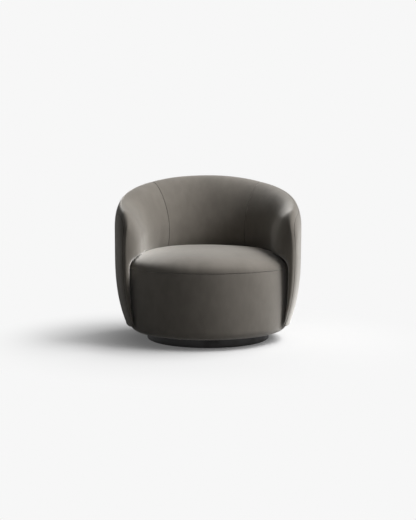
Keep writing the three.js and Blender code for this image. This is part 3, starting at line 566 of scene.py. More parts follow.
def finishShellPad(name, face, back, faces, seams, replaces):
    settings = shellPad
    away, along = seamPlaces(face, seams)
    middle = np.argmax(away)
    normals = facing(pointNormals(face, faces), middle, -face[middle] * [1, 1, 0])
    drop = seamDrop(away, settings["seamRadius"], settings["sink"], settings["reach"])
    settle = softness(face, settings["seed"], settings["wave"], settings["waveHeight"])
    settle = settle * np.clip(away / settings["waveFrom"], 0, 1)
    settle = settle * smoothStep(face[:, 2], *settings["waveRise"])
    face = face + normals * (settle - drop)[:, None]
    return buildPad(name, face, back, faces, away, along, replaces)


# the corner where the crest runs down into the arm's front edge is stuffed out smooth
def eased(points, faces, middle):
    quads = np.array(faces)
    ends = np.concatenate([quads[:, [0, 1]], quads[:, [1, 2]], quads[:, [2, 3]], quads[:, [3, 0]]])
    reach = shellPad["easeReach"]
    distance = np.linalg.norm(points - middle, axis=1)
    near = 1 - smoothStep(distance, reach * shellPad["easeCoreShare"], reach)
    for _ in range(shellPad["easeRounds"]):
        points = points + (neighbourMean(points, ends) - points) * (near * shellPad["easeStep"])[:, None]
    return points


# in the arm's front the pad is solid: its back is the middle of its thickness, short of the front edge
def noseMiddle(angle, height, share):
    turned = min(angle, shell["armEnd"] - arcAngle(shellPad["tipDepth"]))
    kept = min(height, float(crestHeight(turned, shellPad["tipDepth"])))
    reach = lerp(float(innerRadius(turned, kept)), float(outerRadius(turned, kept)), share)
    return polar(turned, reach, kept)


# the pad's back lies on the frame's boards, and over the crest rail it comes down to the rail
def innerBack(angle, height, strip=None):
    top = crestRailTop(angle) + shellPad["backGap"]
    if strip is None:
        if abs(angle) > shell["frameEnd"]:
            return noseMiddle(angle, height, shellPad["faceShare"])
        if height < shell["railTop"]:
            return polar(angle, innerRadius(angle, height) + shellPad["cloth"], height)
        kept = min(height, float(top))
        return polar(angle, frameInside(angle, kept) - shellPad["backGap"], kept)
    end = outerRadius(angle, top, shell["skin"])
    reach = lerp(frameInside(angle, top), end, strip)
    return polar(angle, min(float(reach), float(end) - shellPad["stripShort"]), top)


def backPad():
    angles = spread(-innerSeam, innerSeam, shellPad["columnStep"], True, True, perDegree)
    face, back = [], []
    for angle in angles:
        heights = innerHeights(angle, shell["railTop"] - shellPad["flapBelowRail"])
        face += list(polar(angle, innerRadius(angle, heights), heights))
        back += [innerBack(angle, height) for height in heights]
        for k in range(len(rollShares)):
            height = rollPlace(angle, crestHeight(angle), k)[1]
            face.append(outerPoint(angle, height))
            back.append(innerBack(angle, height, (k + 1) / len(rollShares)))
    face, back = np.array(face), np.array(back)
    numbers = np.arange(len(face)).reshape(len(angles), -1)
    shown = shellPad["hiddenRows"]
    seams = [list(numbers[0, shown:]), list(numbers[-1, shown:]), list(numbers[:, -1])]
    return finishShellPad("backPad", face, back, facesOf(numbers), seams, ("inner_back_cover", "back_foam"))


def armLowEdge(angle):
    frontward = smoothStep(angle, shell["innerNose"], shell["frameEnd"])
    return lerp(shell["railTop"] - shellPad["flapBelowRail"], hemLine(angle), frontward)


def armPad(side, name):
    nose, end = shell["innerNose"], shell["armEnd"]
    turns = np.linspace(0, math.pi / 2, shellPad["noseColumns"])
    angles = np.concatenate([
        spread(outerSeam, nose, shellPad["columnStep"], False, True, perDegree)[:-1],
        nose + (end - nose) * np.sin(turns) ** (2 / shell["nosePower"]),
    ])
    face, back = [], []
    rowsOf = [innerHeights(angle, float(armLowEdge(angle))) for angle in angles]
    for angle, heights in zip(angles, rowsOf):
        face += list(polar(angle, innerRadius(angle, heights), heights))
        back += [innerBack(angle, height) for height in heights]
    grid = np.arange(len(face)).reshape(len(angles), -1)
    edge = [(angle, heights[-1], grid[i, -1]) for i, (angle, heights) in enumerate(zip(angles, rowsOf))]
    edge += [(end, height, grid[-1, j]) for j, height in reversed(list(enumerate(rowsOf[-1][:-1])))]
    strip = []
    for angle, height, start in edge:
        line = [start]
        for k in range(len(rollShares)):
            turned, low = rollPlace(angle, height, k)
            line.append(len(face))
            face.append(outerPoint(turned, low))
            if angle > shell["frameEnd"]:
                back.append(noseMiddle(turned, low, shellPad["stripShare"]))
            else:
                back.append(innerBack(angle, height, (k + 1) / len(rollShares)))
        strip.append(line)
    strip = np.array(strip)
    face, back = np.array(face), np.array(back)
    faces = facesOf(grid) + facesOf(strip)
    tip = polar(end, noseRadius(crestHeight(end)), crestHeight(end))
    face = eased(face, faces, tip)
    face[:, 0] *= side
    back[:, 0] *= side
    seams = [list(grid[0, shellPad["hiddenRows"]:]) + list(strip[0, 1:]), list(strip[:, -1])]
    word = "left" if side > 0 else "right"
    replaces = ("inner_arm_cover_" + word, "arm_foam_" + word, "arm_front_pad_" + word)
    return finishShellPad(name, face, back, faces, seams, replaces)


inner = [backPad(), armPad(1, "armPadLeft"), armPad(-1, "armPadRight")]
print("inner pads", [len(pad.data.polygons) for pad in inner], "faces")

# the shell's outer face, from the seam under the crest down to the hem, where it turns up inside
outerPanel = {
    "columnStep": 0.0095, "cornerColumns": 30, "rowStep": 0.010, "wallHeight": 0.66, "seamRadius": 0.003,
    "sink": 0.0008, "reach": 0.016, "wave": 0.32, "waveHeight": 0.0008, "waveFrom": 0.06, "seed": 41,
    "cloth": 0.0028, "wadding": 0.0045, "waddingRise": (0.09, 0.14), "waddingFrom": 0.02, "hemRoll": 0.008,
    "hemInside": 0.044, "hemOpening": 9.0, "flapRows": 5, "innerTurns": 4, "outerTurns": 5, "fill": 0.9,
}


# the hem's rows at one place along it: up inside the chair, round under the edge and out
def hemRows(angle, hem):
    settings = outerPanel
    roll = settings["hemRoll"]
    openFrom = shell["innerNose"] - settings["hemOpening"]
    turnedIn = 1 - float(smoothStep(abs(angle), openFrom, shell["innerNose"]))
    outside = float(outerRadius(angle, hem + roll))
    inside = float(innerRadius(angle, hem + roll))
    rim = polar(angle, lerp(outside, inside, shell["rimShare"]), hem)
    rows = []
    for rise in np.linspace(settings["hemInside"], roll, settings["flapRows"]):
        rows.append(lerp(rim, polar(angle, innerRadius(angle, hem + rise), hem + rise), turnedIn))
    for turn in np.linspace(0, math.pi / 2, settings["innerTurns"])[1:-1]:
        low = polar(angle, inside, hem + roll * (1 - math.sin(turn)))
        rows.append(lerp(rim, low, turnedIn * math.cos(turn)))
    rows.append(rim)
    for turn in np.linspace(0, math.pi / 2, settings["outerTurns"])[1:-1]:
        out = lerp(rim, polar(angle, outside, 0), math.sin(turn))
        out[2] = hem + roll * (1 - math.cos(turn))
        rows.append(out)
    return rows


def outerPanelPiece(name, columns, side, replaces):
    settings = outerPanel
    shares = spread(0, 1, settings["rowStep"], True, False, settings["wallHeight"])
    face = []
    for column in columns:
        angle, top = besideCrest(column, crestHeight(column), 1, shell["seamGap"])
        angle, top = float(angle) * (1 if column >= 0 else -1), float(top)
        hem = float(hemLine(angle))
        face += hemRows(angle, hem)
        heights = lerp(hem + settings["hemRoll"], top, shares)
        kept = np.minimum(heights, crestHeight(angle))
        face += list(polar(angle, outerRadius(angle, kept), kept))
    face = np.array(face)
    numbers = np.arange(len(face)).reshape(len(columns), -1)
    firstWall = numbers.shape[1] - len(shares)
    face[:, 0] *= side
    faces = facesOf(numbers)
    seams = [list(numbers[0, firstWall:]), list(numbers[-1, firstWall:]), list(numbers[:, -1])]
    away, along = seamPlaces(face, seams)
    probe = numbers[len(columns) // 2, firstWall + len(shares) // 2]
    normals = facing(pointNormals(face, faces), probe, face[probe] * [1, 1, 0])
    wall = np.zeros(len(face))
    wall[numbers[:, firstWall:].ravel()] = 1
    upward = smoothStep(face[:, 2], *settings["waddingRise"]) * wall
    drop = seamDrop(away, settings["seamRadius"], settings["sink"], settings["reach"]) * wall
    settle = softness(face, settings["seed"], settings["wave"], settings["waveHeight"])
    settle = settle * np.clip(away / settings["waveFrom"], 0, 1) * upward
    stuffed = upward * np.clip(away / settings["waddingFrom"], 0, 1)
    thickness = settings["cloth"] + settings["wadding"] * stuffed
    face = face + normals * (settle - drop)[:, None]
    back = face - normals * thickness[:, None]
    return buildPad(name, face, back, faces, away, along, replaces)


middleColumns = spread(-innerSeam, innerSeam, outerPanel["columnStep"], True, True, perDegree)
turns = np.linspace(0, math.pi / 2, outerPanel["cornerColumns"])
armColumns = np.concatenate([
    spread(outerSeam, cornerStart, outerPanel["columnStep"], False, True, perDegree)[:-1],
    cornerStart + (shell["armEnd"] - cornerStart) * np.sin(turns),
])
outer = [
    outerPanelPiece("outerPanelBack", middleColumns, 1, ("outer_back_cover", "outer_wadding")),
    outerPanelPiece("outerPanelLeft", armColumns, 1, ("outer_arm_cover_left",)),
    outerPanelPiece("outerPanelRight", armColumns, -1, ("outer_arm_cover_right",)),
]
print("outer panels", [len(panel.data.polygons) for panel in outer], "faces")

# the stuffing presses each cover out against its seams: a short cloth simulation, of which
# only the move outwards is kept, evened out and capped
clothPress = {
    "frames": 8, "quality": 4, "mass": 0.25, "tension": 10.0, "bending": 2.0, "damping": 12.0,
    "airDamping": 2.0, "pressure": 3.0, "heldFrom": 0.003, "freeFrom": 0.022, "aboveLip": 0.01,
    "holdLevels": 10, "cap": 0.003, "evenRounds": 60, "evenStep": 0.5,
}


def readRows(items, label, width, kind=np.float32):
    values = np.zeros(len(items) * width, kind)
    items.foreach_get(label, values)
    return values.reshape(-1, width)


def pressOut(pad, above):
    settings = clothPress
    mesh = pad.data
    away = readRows(mesh.attributes["seamAway"].data, "value", 1)[:, 0]
    start = readRows(mesh.vertices, "co", 3)
    outward = readRows(mesh.vertex_normals, "vector", 3)
    ends = readRows(mesh.edges, "vertices", 2, np.int32)
    shown = (away < padMaking["hiddenAway"]) & (start[:, 2] > above)
    loose = smoothStep(away, settings["heldFrom"], settings["freeFrom"]) * shown
    held = pad.vertex_groups.new(name="held")
    levels = np.round((1 - loose) * settings["holdLevels"])
    for level in range(1, settings["holdLevels"] + 1):
        held.add(np.nonzero(levels == level)[0].tolist(), level / settings["holdLevels"], "REPLACE")
    cloth = pad.modifiers.new("press", "CLOTH")
    cloth.settings.quality = settings["quality"]
    cloth.settings.mass = settings["mass"]
    cloth.settings.tension_stiffness = settings["tension"]
    cloth.settings.compression_stiffness = settings["tension"]
    cloth.settings.shear_stiffness = settings["tension"]
    cloth.settings.bending_stiffness = settings["bending"]
    cloth.settings.tension_damping = settings["damping"]
    cloth.settings.air_damping = settings["airDamping"]
    cloth.settings.vertex_group_mass = "held"
    cloth.settings.use_pressure = True
    cloth.settings.uniform_pressure_force = settings["pressure"]
    cloth.settings.effector_weights.gravity = 0
    cloth.collision_settings.use_collision = False
    cloth.point_cache.frame_start = 1
    cloth.point_cache.frame_end = settings["frames"]
    for step in range(1, settings["frames"] + 1):
        scene.frame_set(step)
    pressed = pad.evaluated_get(bpy.context.evaluated_depsgraph_get())
    move = readRows(pressed.data.vertices, "co", 3) - start
    swell = (np.clip(np.sum(move * outward, axis=1), 0, settings["cap"]) * loose)[:, None]
    free = (loose > 0)[:, None]
    for _ in range(settings["evenRounds"]):
        swell = lerp(swell, neighbourMean(swell, ends), settings["evenStep"]) * free
    swell *= loose[:, None]
    pad.modifiers.remove(cloth)
    pad.vertex_groups.remove(held)
    scene.frame_set(1)
    mesh.vertices.foreach_set("co", (start + outward * swell).ravel())
    mesh.update()
    print("pressed", pad.name, "out by", round(float(swell.max()) * 1000, 1), "mm")


pressOut(cushion, drum["seam"])
for pad in inner:
    pressOut(pad, lipHeight + clothPress["aboveLip"])


# a finish's effect takes in the place on the piece and its own settings, each with a plain
# default, and gives out colour, roughness and height
def newGroup(name, settings):
    group = bpy.data.node_groups.new(name, "ShaderNodeTree")
    group.interface.new_socket(name="Place", in_out="INPUT", socket_type="NodeSocketVector")
    for label, value in settings.items():
        kind = "Float" if isinstance(value, float) else "Color" if len(value) == 4 else "Vector"
        socket = group.interface.new_socket(name=label, in_out="INPUT", socket_type="NodeSocket" + kind)
        socket.default_value = value
    for label, kind in (("Colour", "Color"), ("Roughness", "Float"), ("Height", "Float")):
        group.interface.new_socket(name=label, in_out="OUTPUT", socket_type="NodeSocket" + kind)
    start = group.nodes.new("NodeGroupInput")
    start.location = (-1200, 0)
    end = group.nodes.new("NodeGroupOutput")
    end.location = (900, 0)
    return group, start, end


def mathNode(tree, operation, first, second, place=(0, 0), clamp=False):
    made = tree.nodes.new("ShaderNodeMath")
    made.operation = operation
    made.use_clamp = clamp
    made.location = place
    for k, value in enumerate((first, second)):
        if isinstance(value, (int, float)):
            made.inputs[k].default_value = value
        elif value is not None:
            tree.links.new(value, made.inputs[k])
    return made.outputs[0]


# a ramp is written as what goes in, low and high, and what comes out for each
def ramped(tree, value, fromLow, fromHigh, toLow, toHigh, place):
    made = node(tree, "ShaderNodeMapRange", place, From_Min=fromLow, From_Max=fromHigh, To_Min=toLow,
                To_Max=toHigh)
    made.interpolation_type = "SMOOTHSTEP"
    tree.links.new(value, made.inputs["Value"])
    return made.outputs[0]


def blended(tree, factor, first, second, place=(0, 0), way="MIX"):
    made = tree.nodes.new("ShaderNodeMix")
    made.data_type = "RGBA"
    made.blend_type = way
    made.location = place
    for socket, value in ((made.inputs[0], factor), (made.inputs[6], first), (made.inputs[7], second)):
        if isinstance(value, (int, float, tuple)):
            socket.default_value = value
        else:
            tree.links.new(value, socket)
    return made.outputs[2]


# a noise is written as its scale, detail and roughness
def noised(tree, vector, scale, detail, rough, place):
    made = node(tree, "ShaderNodeTexNoise", place, Scale=scale, Detail=detail, Roughness=rough)
    tree.links.new(vector, made.inputs["Vector"])
    return made.outputs["Fac"]


# the pile: broad brushed patches, fine fibre grain, tucks where the cloth runs into a seam, painted shade in
# each seam and painted shade and highlight along the tucks
pileLook = {
    "stretch": (1.0, 1.0, 0.55), "patchNoise": (3.2, 4.0, 0.55), "patchRamp": (0.36, 0.66, 0.0, 1.0),
    "creaseNoise": (26.0, 5.0, 0.6), "creaseRamp": (0.35, 0.65, 0.0, 0.22), "creaseHeight": 0.0006,
    "strandNoise": (900.0, 2.0, 0.6), "strandRamp": (0.3, 0.7, 0.0, 0.16), "strandHeight": 0.00022,
    "tuftNoise": (2600.0, 2.0, 0.5), "tuftHeight": 0.00009, "tuckPitch": 0.007, "paintedTuckShade": 0.05,
    "tuckRamp": (0.001, 0.009, 1.0, 0.0), "tuckHeight": 0.00035, "paintedSeamShadeRamp": (0.0003, 0.0022, 0.6, 1.0),
    "roughRamp": (0.0, 1.0, 0.92, 0.78),
}


def makePile():
    look = pileLook
    group, start, end = newGroup("velvetPile", {
        "Seam Away": 1.0,
        "Seam Run": 0.0,
        "Light Nap": (0.3, 0.28, 0.25, 1),
        "Dark Nap": (0.2, 0.19, 0.17, 1),
        "Brushing": 0.5,
    })
    place = start.outputs["Place"]
    stretch = group.nodes.new("ShaderNodeMapping")
    stretch.location = (-1000, 300)
    stretch.inputs["Scale"].default_value = look["stretch"]
    group.links.new(place, stretch.inputs["Vector"])
    broad = noised(group, stretch.outputs[0], *look["patchNoise"], (-800, 400))
    patch = ramped(group, broad, *look["patchRamp"], (-600, 400))
    crease = noised(group, stretch.outputs[0], *look["creaseNoise"], (-800, 200))
    creased = ramped(group, crease, *look["creaseRamp"], (-600, 200))
    strand = noised(group, place, *look["strandNoise"], (-800, 0))
    stranded = ramped(group, strand, *look["strandRamp"], (-600, 0))
    tuft = noised(group, place, *look["tuftNoise"], (-800, -200))
    nap = mathNode(group, "MULTIPLY", patch, start.outputs["Brushing"], (-400, 400))
    nap = mathNode(group, "ADD", nap, creased, (-200, 350))
    nap = mathNode(group, "ADD", nap, stranded, (0, 300), True)
    colour = blended(group, nap, start.outputs["Dark Nap"], start.outputs["Light Nap"], (200, 300))
    # painted shade: the colour darkens towards each seam, where the cloth turns down into it
    paintedSeamShade = ramped(group, start.outputs["Seam Away"], *look["paintedSeamShadeRamp"], (-600, -400))
    tucksPerMetre = 2 * math.pi / look["tuckPitch"]
    wave = mathNode(group, "MULTIPLY", start.outputs["Seam Run"], tucksPerMetre, (-800, -600))
    wave = mathNode(group, "SINE", wave, None, (-600, -600))
    beside = ramped(group, start.outputs["Seam Away"], *look["tuckRamp"], (-600, -750))
    tuck = mathNode(group, "MULTIPLY", wave, beside, (-400, -650))
    # painted shade and highlight: the colour goes darker and lighter in turn with the tucks beside each seam
    shade = mathNode(group, "MULTIPLY", tuck, look["paintedTuckShade"], (-200, -500))
    shade = mathNode(group, "ADD", paintedSeamShade, shade, (0, -450), True)
    colour = blended(group, 1.0, colour, shade, (400, 200), "MULTIPLY")
    group.links.new(colour, end.inputs["Colour"])
    group.links.new(ramped(group, nap, *look["roughRamp"], (400, 0)), end.inputs["Roughness"])
    height = mathNode(group, "MULTIPLY", strand, look["strandHeight"], (200, -100))
    raised = (("tuftHeight", tuft), ("tuckHeight", tuck), ("creaseHeight", crease))
    for k, (label, value) in enumerate(raised):
        part = mathNode(group, "MULTIPLY", value, look[label], (200, -250 - 150 * k))
        height = mathNode(group, "ADD", height, part, (400 + 150 * k, -200))
    group.links.new(height, end.inputs["Height"])
    return group


def attributeOf(tree, name, place):
    made = node(tree, "ShaderNodeAttribute", place)
    made.attribute_name = name
    return made.outputs["Fac"]


# the material round an effect: its colour, roughness and height go to the surface
def surfaced(tree, effect, relief, **fixed):
    shader = node(tree, "ShaderNodeBsdfPrincipled", (300, 0), **fixed)
    bump = node(tree, "ShaderNodeBump", (100, -300), Strength=relief, Distance=1.0)
    out = node(tree, "ShaderNodeOutputMaterial", (600, 0))
    tree.links.new(effect.outputs["Colour"], shader.inputs["Base Color"])
    tree.links.new(effect.outputs["Roughness"], shader.inputs["Roughness"])
    tree.links.new(effect.outputs["Height"], bump.inputs["Height"])
    tree.links.new(bump.outputs[0], shader.inputs["Normal"])
    tree.links.new(shader.outputs[0], out.inputs[0])


pile = makePile()
velvetLook = {
    "light": (0.196, 0.177, 0.153, 1), "dark": (0.150, 0.135, 0.115, 1), "brushing": 0.6,
    "sheen": 1.0, "sheenRoughness": 0.45, "sheenTint": (1.0, 0.972, 0.925, 1), "specular": 0.15,
    "relief": 0.8,
}
velvet = bpy.data.materials.new("taupeVelvet")
tree = newTree(velvet)
cloth = tree.nodes.new("ShaderNodeGroup")
cloth.node_tree = pile
cloth.location = (-200, 0)
tree.links.new(objectPlace(tree), cloth.inputs["Place"])
tree.links.new(attributeOf(tree, "seamAway", (-600, -200)), cloth.inputs["Seam Away"])
tree.links.new(attributeOf(tree, "seamRun", (-600, -400)), cloth.inputs["Seam Run"])
cloth.inputs["Light Nap"].default_value = velvetLook["light"]
cloth.inputs["Dark Nap"].default_value = velvetLook["dark"]
cloth.inputs["Brushing"].default_value = velvetLook["brushing"]
surfaced(tree, cloth, velvetLook["relief"], Sheen_Weight=velvetLook["sheen"],
         Sheen_Roughness=velvetLook["sheenRoughness"], Sheen_Tint=velvetLook["sheenTint"],
         Specular_IOR_Level=velvetLook["specular"])
for pad in [cushion, bandPiece, *inner, *outer]:
    pad.data.materials.clear()
    pad.data.materials.append(velvet)
print("velvet ready")


# wood: long grain with growth lines, and the plies that a sawn edge shows
woodLook = {
    "ringNoise": (9.0, 5.0, 0.55), "ringTurns": 46.0, "ringRamp": (-0.6, 1.0, 0.0, 0.55),
    "poreNoise": (260.0, 3.0, 0.6), "poreRamp": (0.4, 0.7, 0.0, 0.45), "plyPair": 0.0029,
    "plyRamp": (-0.15, 0.15, 0.0, 0.6), "edgeRamp": (0.2, 0.5, 1.0, 0.0), "roughRamp": (0.0, 1.0, 0.62, 0.8),
    "grainDepth": 0.00015,
    "birch": {"Pale": (0.62, 0.47, 0.29, 1), "Dark": (0.42, 0.28, 0.15, 1)},
    "pine": {"Pale": (0.60, 0.42, 0.23, 1), "Dark": (0.38, 0.22, 0.10, 1)},
    "hardboard": {"Pale": (0.31, 0.20, 0.11, 1), "Dark": (0.20, 0.12, 0.06, 1)},
}


def makeGrain():
    look = woodLook
    group, start, end = newGroup("woodGrain", {
        "Stretch": (1.0, 1.0, 1.0),
        "Pale": (0.6, 0.45, 0.28, 1),
        "Dark": (0.4, 0.27, 0.14, 1),
        "Plies": 0.0,
    })
    along = group.nodes.new("ShaderNodeMapping")
    along.location = (-1000, 200)
    group.links.new(start.outputs["Place"], along.inputs["Vector"])
    group.links.new(start.outputs["Stretch"], along.inputs["Scale"])
    rings = noised(group, along.outputs[0], *look["ringNoise"], (-800, 300))
    rings = mathNode(group, "MULTIPLY", rings, look["ringTurns"], (-600, 350))
    rings = mathNode(group, "SINE", rings, None, (-450, 350))
    rings = ramped(group, rings, *look["ringRamp"], (-300, 350))
    pores = noised(group, along.outputs[0], *look["poreNoise"], (-800, 0))
    pores = ramped(group, pores, *look["poreRamp"], (-450, 50))
    shade = mathNode(group, "ADD", rings, pores, (-150, 250), True)
    parts = group.nodes.new("ShaderNodeSeparateXYZ")
    parts.location = (-800, -250)
    group.links.new(start.outputs["Place"], parts.inputs[0])
    surface = group.nodes.new("ShaderNodeNewGeometry")
    surface.location = (-1000, -450)
    turned = group.nodes.new("ShaderNodeSeparateXYZ")
    turned.location = (-800, -450)
    group.links.new(surface.outputs["Normal"], turned.inputs[0])
    ply = mathNode(group, "MULTIPLY", parts.outputs["Z"], 2 * math.pi / look["plyPair"], (-600, -250))
    ply = mathNode(group, "SINE", ply, None, (-450, -250))
    ply = ramped(group, ply, *look["plyRamp"], (-300, -250))
    edge = mathNode(group, "ABSOLUTE", turned.outputs["Z"], None, (-600, -450))
    edge = ramped(group, edge, *look["edgeRamp"], (-450, -450))
    edge = mathNode(group, "MULTIPLY", edge, start.outputs["Plies"], (-300, -450))
    ply = mathNode(group, "MULTIPLY", ply, edge, (-100, -300))
    shade = mathNode(group, "ADD", shade, ply, (50, 100), True)
    colour = blended(group, shade, start.outputs["Pale"], start.outputs["Dark"], (250, 200))
    group.links.new(colour, end.inputs["Colour"])
    group.links.new(ramped(group, shade, *look["roughRamp"], (250, -50)), end.inputs["Roughness"])
    sunk = mathNode(group, "MULTIPLY", shade, -look["grainDepth"], (250, -250))
    group.links.new(sunk, end.inputs["Height"])
    return group


# metal: cloudy plating, drawn lines and a few rubbed scratches
metalLook = {
    "lineStretch": (1.0, 14.0, 14.0), "cloudNoise": (70.0, 4.0, 0.6), "cloudRamp": (0.35, 0.7, 0.0, 0.6),
    "spangleScale": 240.0, "spangleRamp": (0.0, 0.7, 0.0, 0.4), "lineNoise": (60.0, 3.0, 0.5),
    "scratchRamp": (0.62, 0.7, 0.0, 1.0), "unpolished": 0.62, "polished": 0.4, "dullRough": 0.16,
    "scratchRough": -0.1, "scratchDepth": 0.00004,
    "zinc": {"Bright": (0.66, 0.67, 0.68, 1), "Dull": (0.48, 0.48, 0.47, 1)},
    "spring": {"Bright": (0.25, 0.25, 0.26, 1), "Dull": (0.11, 0.105, 0.10, 1)},
}


def makePlating():
    look = metalLook
    group, start, end = newGroup("metalPlating", {
        "Bright": (0.6, 0.61, 0.62, 1),
        "Dull": (0.42, 0.42, 0.42, 1),
        "Polish": 0.5,
    })
    along = group.nodes.new("ShaderNodeMapping")
    along.location = (-1000, -100)
    along.inputs["Scale"].default_value = look["lineStretch"]
    group.links.new(start.outputs["Place"], along.inputs["Vector"])
    cloud = noised(group, start.outputs["Place"], *look["cloudNoise"], (-800, 200))
    cloud = ramped(group, cloud, *look["cloudRamp"], (-600, 200))
    spangle = group.nodes.new("ShaderNodeTexVoronoi")
    spangle.location = (-800, 0)
    spangle.inputs["Scale"].default_value = look["spangleScale"]
    group.links.new(start.outputs["Place"], spangle.inputs["Vector"])
    spangled = ramped(group, spangle.outputs["Distance"], *look["spangleRamp"], (-600, 0))
    dull = mathNode(group, "ADD", cloud, spangled, (-400, 100), True)
    lines = noised(group, along.outputs[0], *look["lineNoise"], (-800, -250))
    scratch = ramped(group, lines, *look["scratchRamp"], (-600, -250))
    colour = blended(group, dull, start.outputs["Bright"], start.outputs["Dull"], (-100, 200))
    group.links.new(colour, end.inputs["Colour"])
    polished = mathNode(group, "MULTIPLY", start.outputs["Polish"], look["polished"], (-400, -400))
    dulled = mathNode(group, "MULTIPLY", dull, look["dullRough"], (-200, 0))
    scratched = mathNode(group, "MULTIPLY", scratch, look["scratchRough"], (0, -250))
    rough = mathNode(group, "SUBTRACT", look["unpolished"], polished, (-200, -350))
    rough = mathNode(group, "ADD", rough, dulled, (0, -100))
    rough = mathNode(group, "ADD", rough, scratched, (200, -150), True)
    group.links.new(rough, end.inputs["Roughness"])
    sunk = mathNode(group, "MULTIPLY", scratch, -look["scratchDepth"], (200, -350))
    group.links.new(sunk, end.inputs["Height"])
    return group


# felt and spun-bonded cloth: matted fibres, and the rows of bond dents that hold a spun cloth together
feltLook = {
    "fibreNoise": (620.0, 5.0, 0.65), "fibreRamp": (0.35, 0.65, 0.0, 0.7), "clumpNoise": (42.0, 4.0, 0.6),
    "clumpRamp": (0.35, 0.65, 0.0, 0.3), "dentPitch": 0.0024, "dentRamp": (0.2, 0.6, 0.0, 1.0),
    "roughRamp": (0.0, 1.0, 0.92, 0.6), "fibreRise": 0.0004, "dentDepth": 0.0003,
    "felt": {"Light": (0.11, 0.11, 0.11, 1), "Dark": (0.05, 0.05, 0.05, 1)},
    "lining": {"Light": (0.024, 0.024, 0.024, 1), "Dark": (0.009, 0.009, 0.009, 1)},
}


def makeMatting():
    look = feltLook
    group, start, end = newGroup("mattedFibre", {
        "Light": (0.1, 0.1, 0.1, 1),
        "Dark": (0.05, 0.05, 0.05, 1),
        "Dents": 0.0,
    })
    place = start.outputs["Place"]
    fibre = noised(group, place, *look["fibreNoise"], (-800, 200))
    fibre = ramped(group, fibre, *look["fibreRamp"], (-500, 200))
    clump = noised(group, place, *look["clumpNoise"], (-800, 0))
    clump = ramped(group, clump, *look["clumpRamp"], (-500, 0))
    shade = mathNode(group, "ADD", fibre, clump, (-200, 100), True)
    parts = group.nodes.new("ShaderNodeSeparateXYZ")
    parts.location = (-1000, -250)
    group.links.new(place, parts.inputs[0])
    waves = []
    dentsPerMetre = 2 * math.pi / look["dentPitch"]
    for k, axis in enumerate("XY"):
        down = -200 - 150 * k
        wave = mathNode(group, "MULTIPLY", parts.outputs[axis], dentsPerMetre, (-800, down))
        waves.append(mathNode(group, "SINE", wave, None, (-650, down)))
    dent = mathNode(group, "MULTIPLY", *waves, (-500, -250))
    dent = ramped(group, dent, *look["dentRamp"], (-350, -250))
    dent = mathNode(group, "MULTIPLY", dent, start.outputs["Dents"], (-200, -250))
    colour = blended(group, shade, start.outputs["Dark"], start.outputs["Light"], (100, 200))
    group.links.new(colour, end.inputs["Colour"])
    group.links.new(ramped(group, dent, *look["roughRamp"], (100, 0)), end.inputs["Roughness"])
    raised = mathNode(group, "MULTIPLY", shade, look["fibreRise"], (100, -150))
    sunk = mathNode(group, "MULTIPLY", dent, look["dentDepth"], (0, -300))
    group.links.new(mathNode(group, "SUBTRACT", raised, sunk, (300, -200)), end.inputs["Height"])
    return group


# paint: a fine pebbled film with a little settled dust
paintLook = {
    "pebbleNoise": (420.0, 2.0, 0.5), "pebbleDepth": 0.00006, "dustNoise": (11.0, 5.0, 0.6),
    "dustRamp": (0.45, 0.75, 0.0, 0.5), "roughRamp": (0.0, 0.5, 0.52, 0.72),
    "paint": {"Paint": (0.012, 0.0112, 0.0105, 1), "Dust": (0.02, 0.019, 0.018, 1)},
}


def makeFilm():
    look = paintLook
    group, start, end = newGroup("paintFilm", {
        "Paint": (0.01, 0.01, 0.01, 1),
        "Dust": (0.03, 0.03, 0.03, 1),
    })
    pebble = noised(group, start.outputs["Place"], *look["pebbleNoise"], (-800, 100))
    dusty = noised(group, start.outputs["Place"], *look["dustNoise"], (-800, -100))
    dusty = ramped(group, dusty, *look["dustRamp"], (-600, -100))
    colour = blended(group, dusty, start.outputs["Paint"], start.outputs["Dust"], (-200, 100))
    group.links.new(colour, end.inputs["Colour"])
    group.links.new(ramped(group, dusty, *look["roughRamp"], (-200, -100)), end.inputs["Roughness"])
    raised = mathNode(group, "MULTIPLY", pebble, look["pebbleDepth"], (-200, -300))
    group.links.new(raised, end.inputs["Height"])
    return group


finishRelief = 0.7


def finishFrom(name, group, colours, fixed=None, **settings):
    made = bpy.data.materials.new(name)
    tree = newTree(made)
    effect = tree.nodes.new("ShaderNodeGroup")
    effect.node_tree = group
    effect.location = (-200, 0)
    tree.links.new(objectPlace(tree), effect.inputs["Place"])
    for label, value in {**colours, **settings}.items():
        effect.inputs[label].default_value = value
    surfaced(tree, effect, finishRelief, **(fixed or {}))
    return made


grain, plating, matting, film = makeGrain(), makePlating(), makeMatting(), makeFilm()
metallic = {"Metallic": 1.0}
birchPly = finishFrom("birchPly", grain, woodLook["birch"], Stretch=(0.12, 1.0, 1.0), Plies=1.0)
uprightPly = finishFrom("uprightPly", grain, woodLook["birch"], Stretch=(1.0, 1.0, 0.12), Plies=0.0)
pinePost = finishFrom("pinePost", grain, woodLook["pine"], Stretch=(1.0, 1.0, 0.1), Plies=0.0)
hardboard = finishFrom("hardboard", grain, woodLook["hardboard"], Stretch=(0.8, 0.8, 0.8), Plies=0.0)
zincPlate = finishFrom("zincPlate", plating, metalLook["zinc"], fixed=metallic, Polish=0.7)
springWire = finishFrom("springWire", plating, metalLook["spring"], fixed=metallic, Polish=0.55)
greyFelt = finishFrom("greyFelt", matting, feltLook["felt"], Dents=0.0)
blackLining = finishFrom("blackLining", matting, feltLook["lining"], Dents=1.0)
blackPaint = finishFrom("blackPaint", film, paintLook["paint"])

finishOf = {"zinc_steel": zincPlate, "spring_steel": springWire, "plywood": birchPly, "timber": pinePost,
            "fibreboard": hardboard}
dressed = 0
for part in frame["record"]["subparts"]:
    finish = finishOf.get(part["material_slot"])
    if part["node"].startswith("shell_rib"):
        finish = uprightPly
    if finish:
        for held in nodes[part["node"]].material_slots:
            held.link = "OBJECT"
            held.material = finish
        dressed += 1
print("frame finishes on", dressed, "nodes")


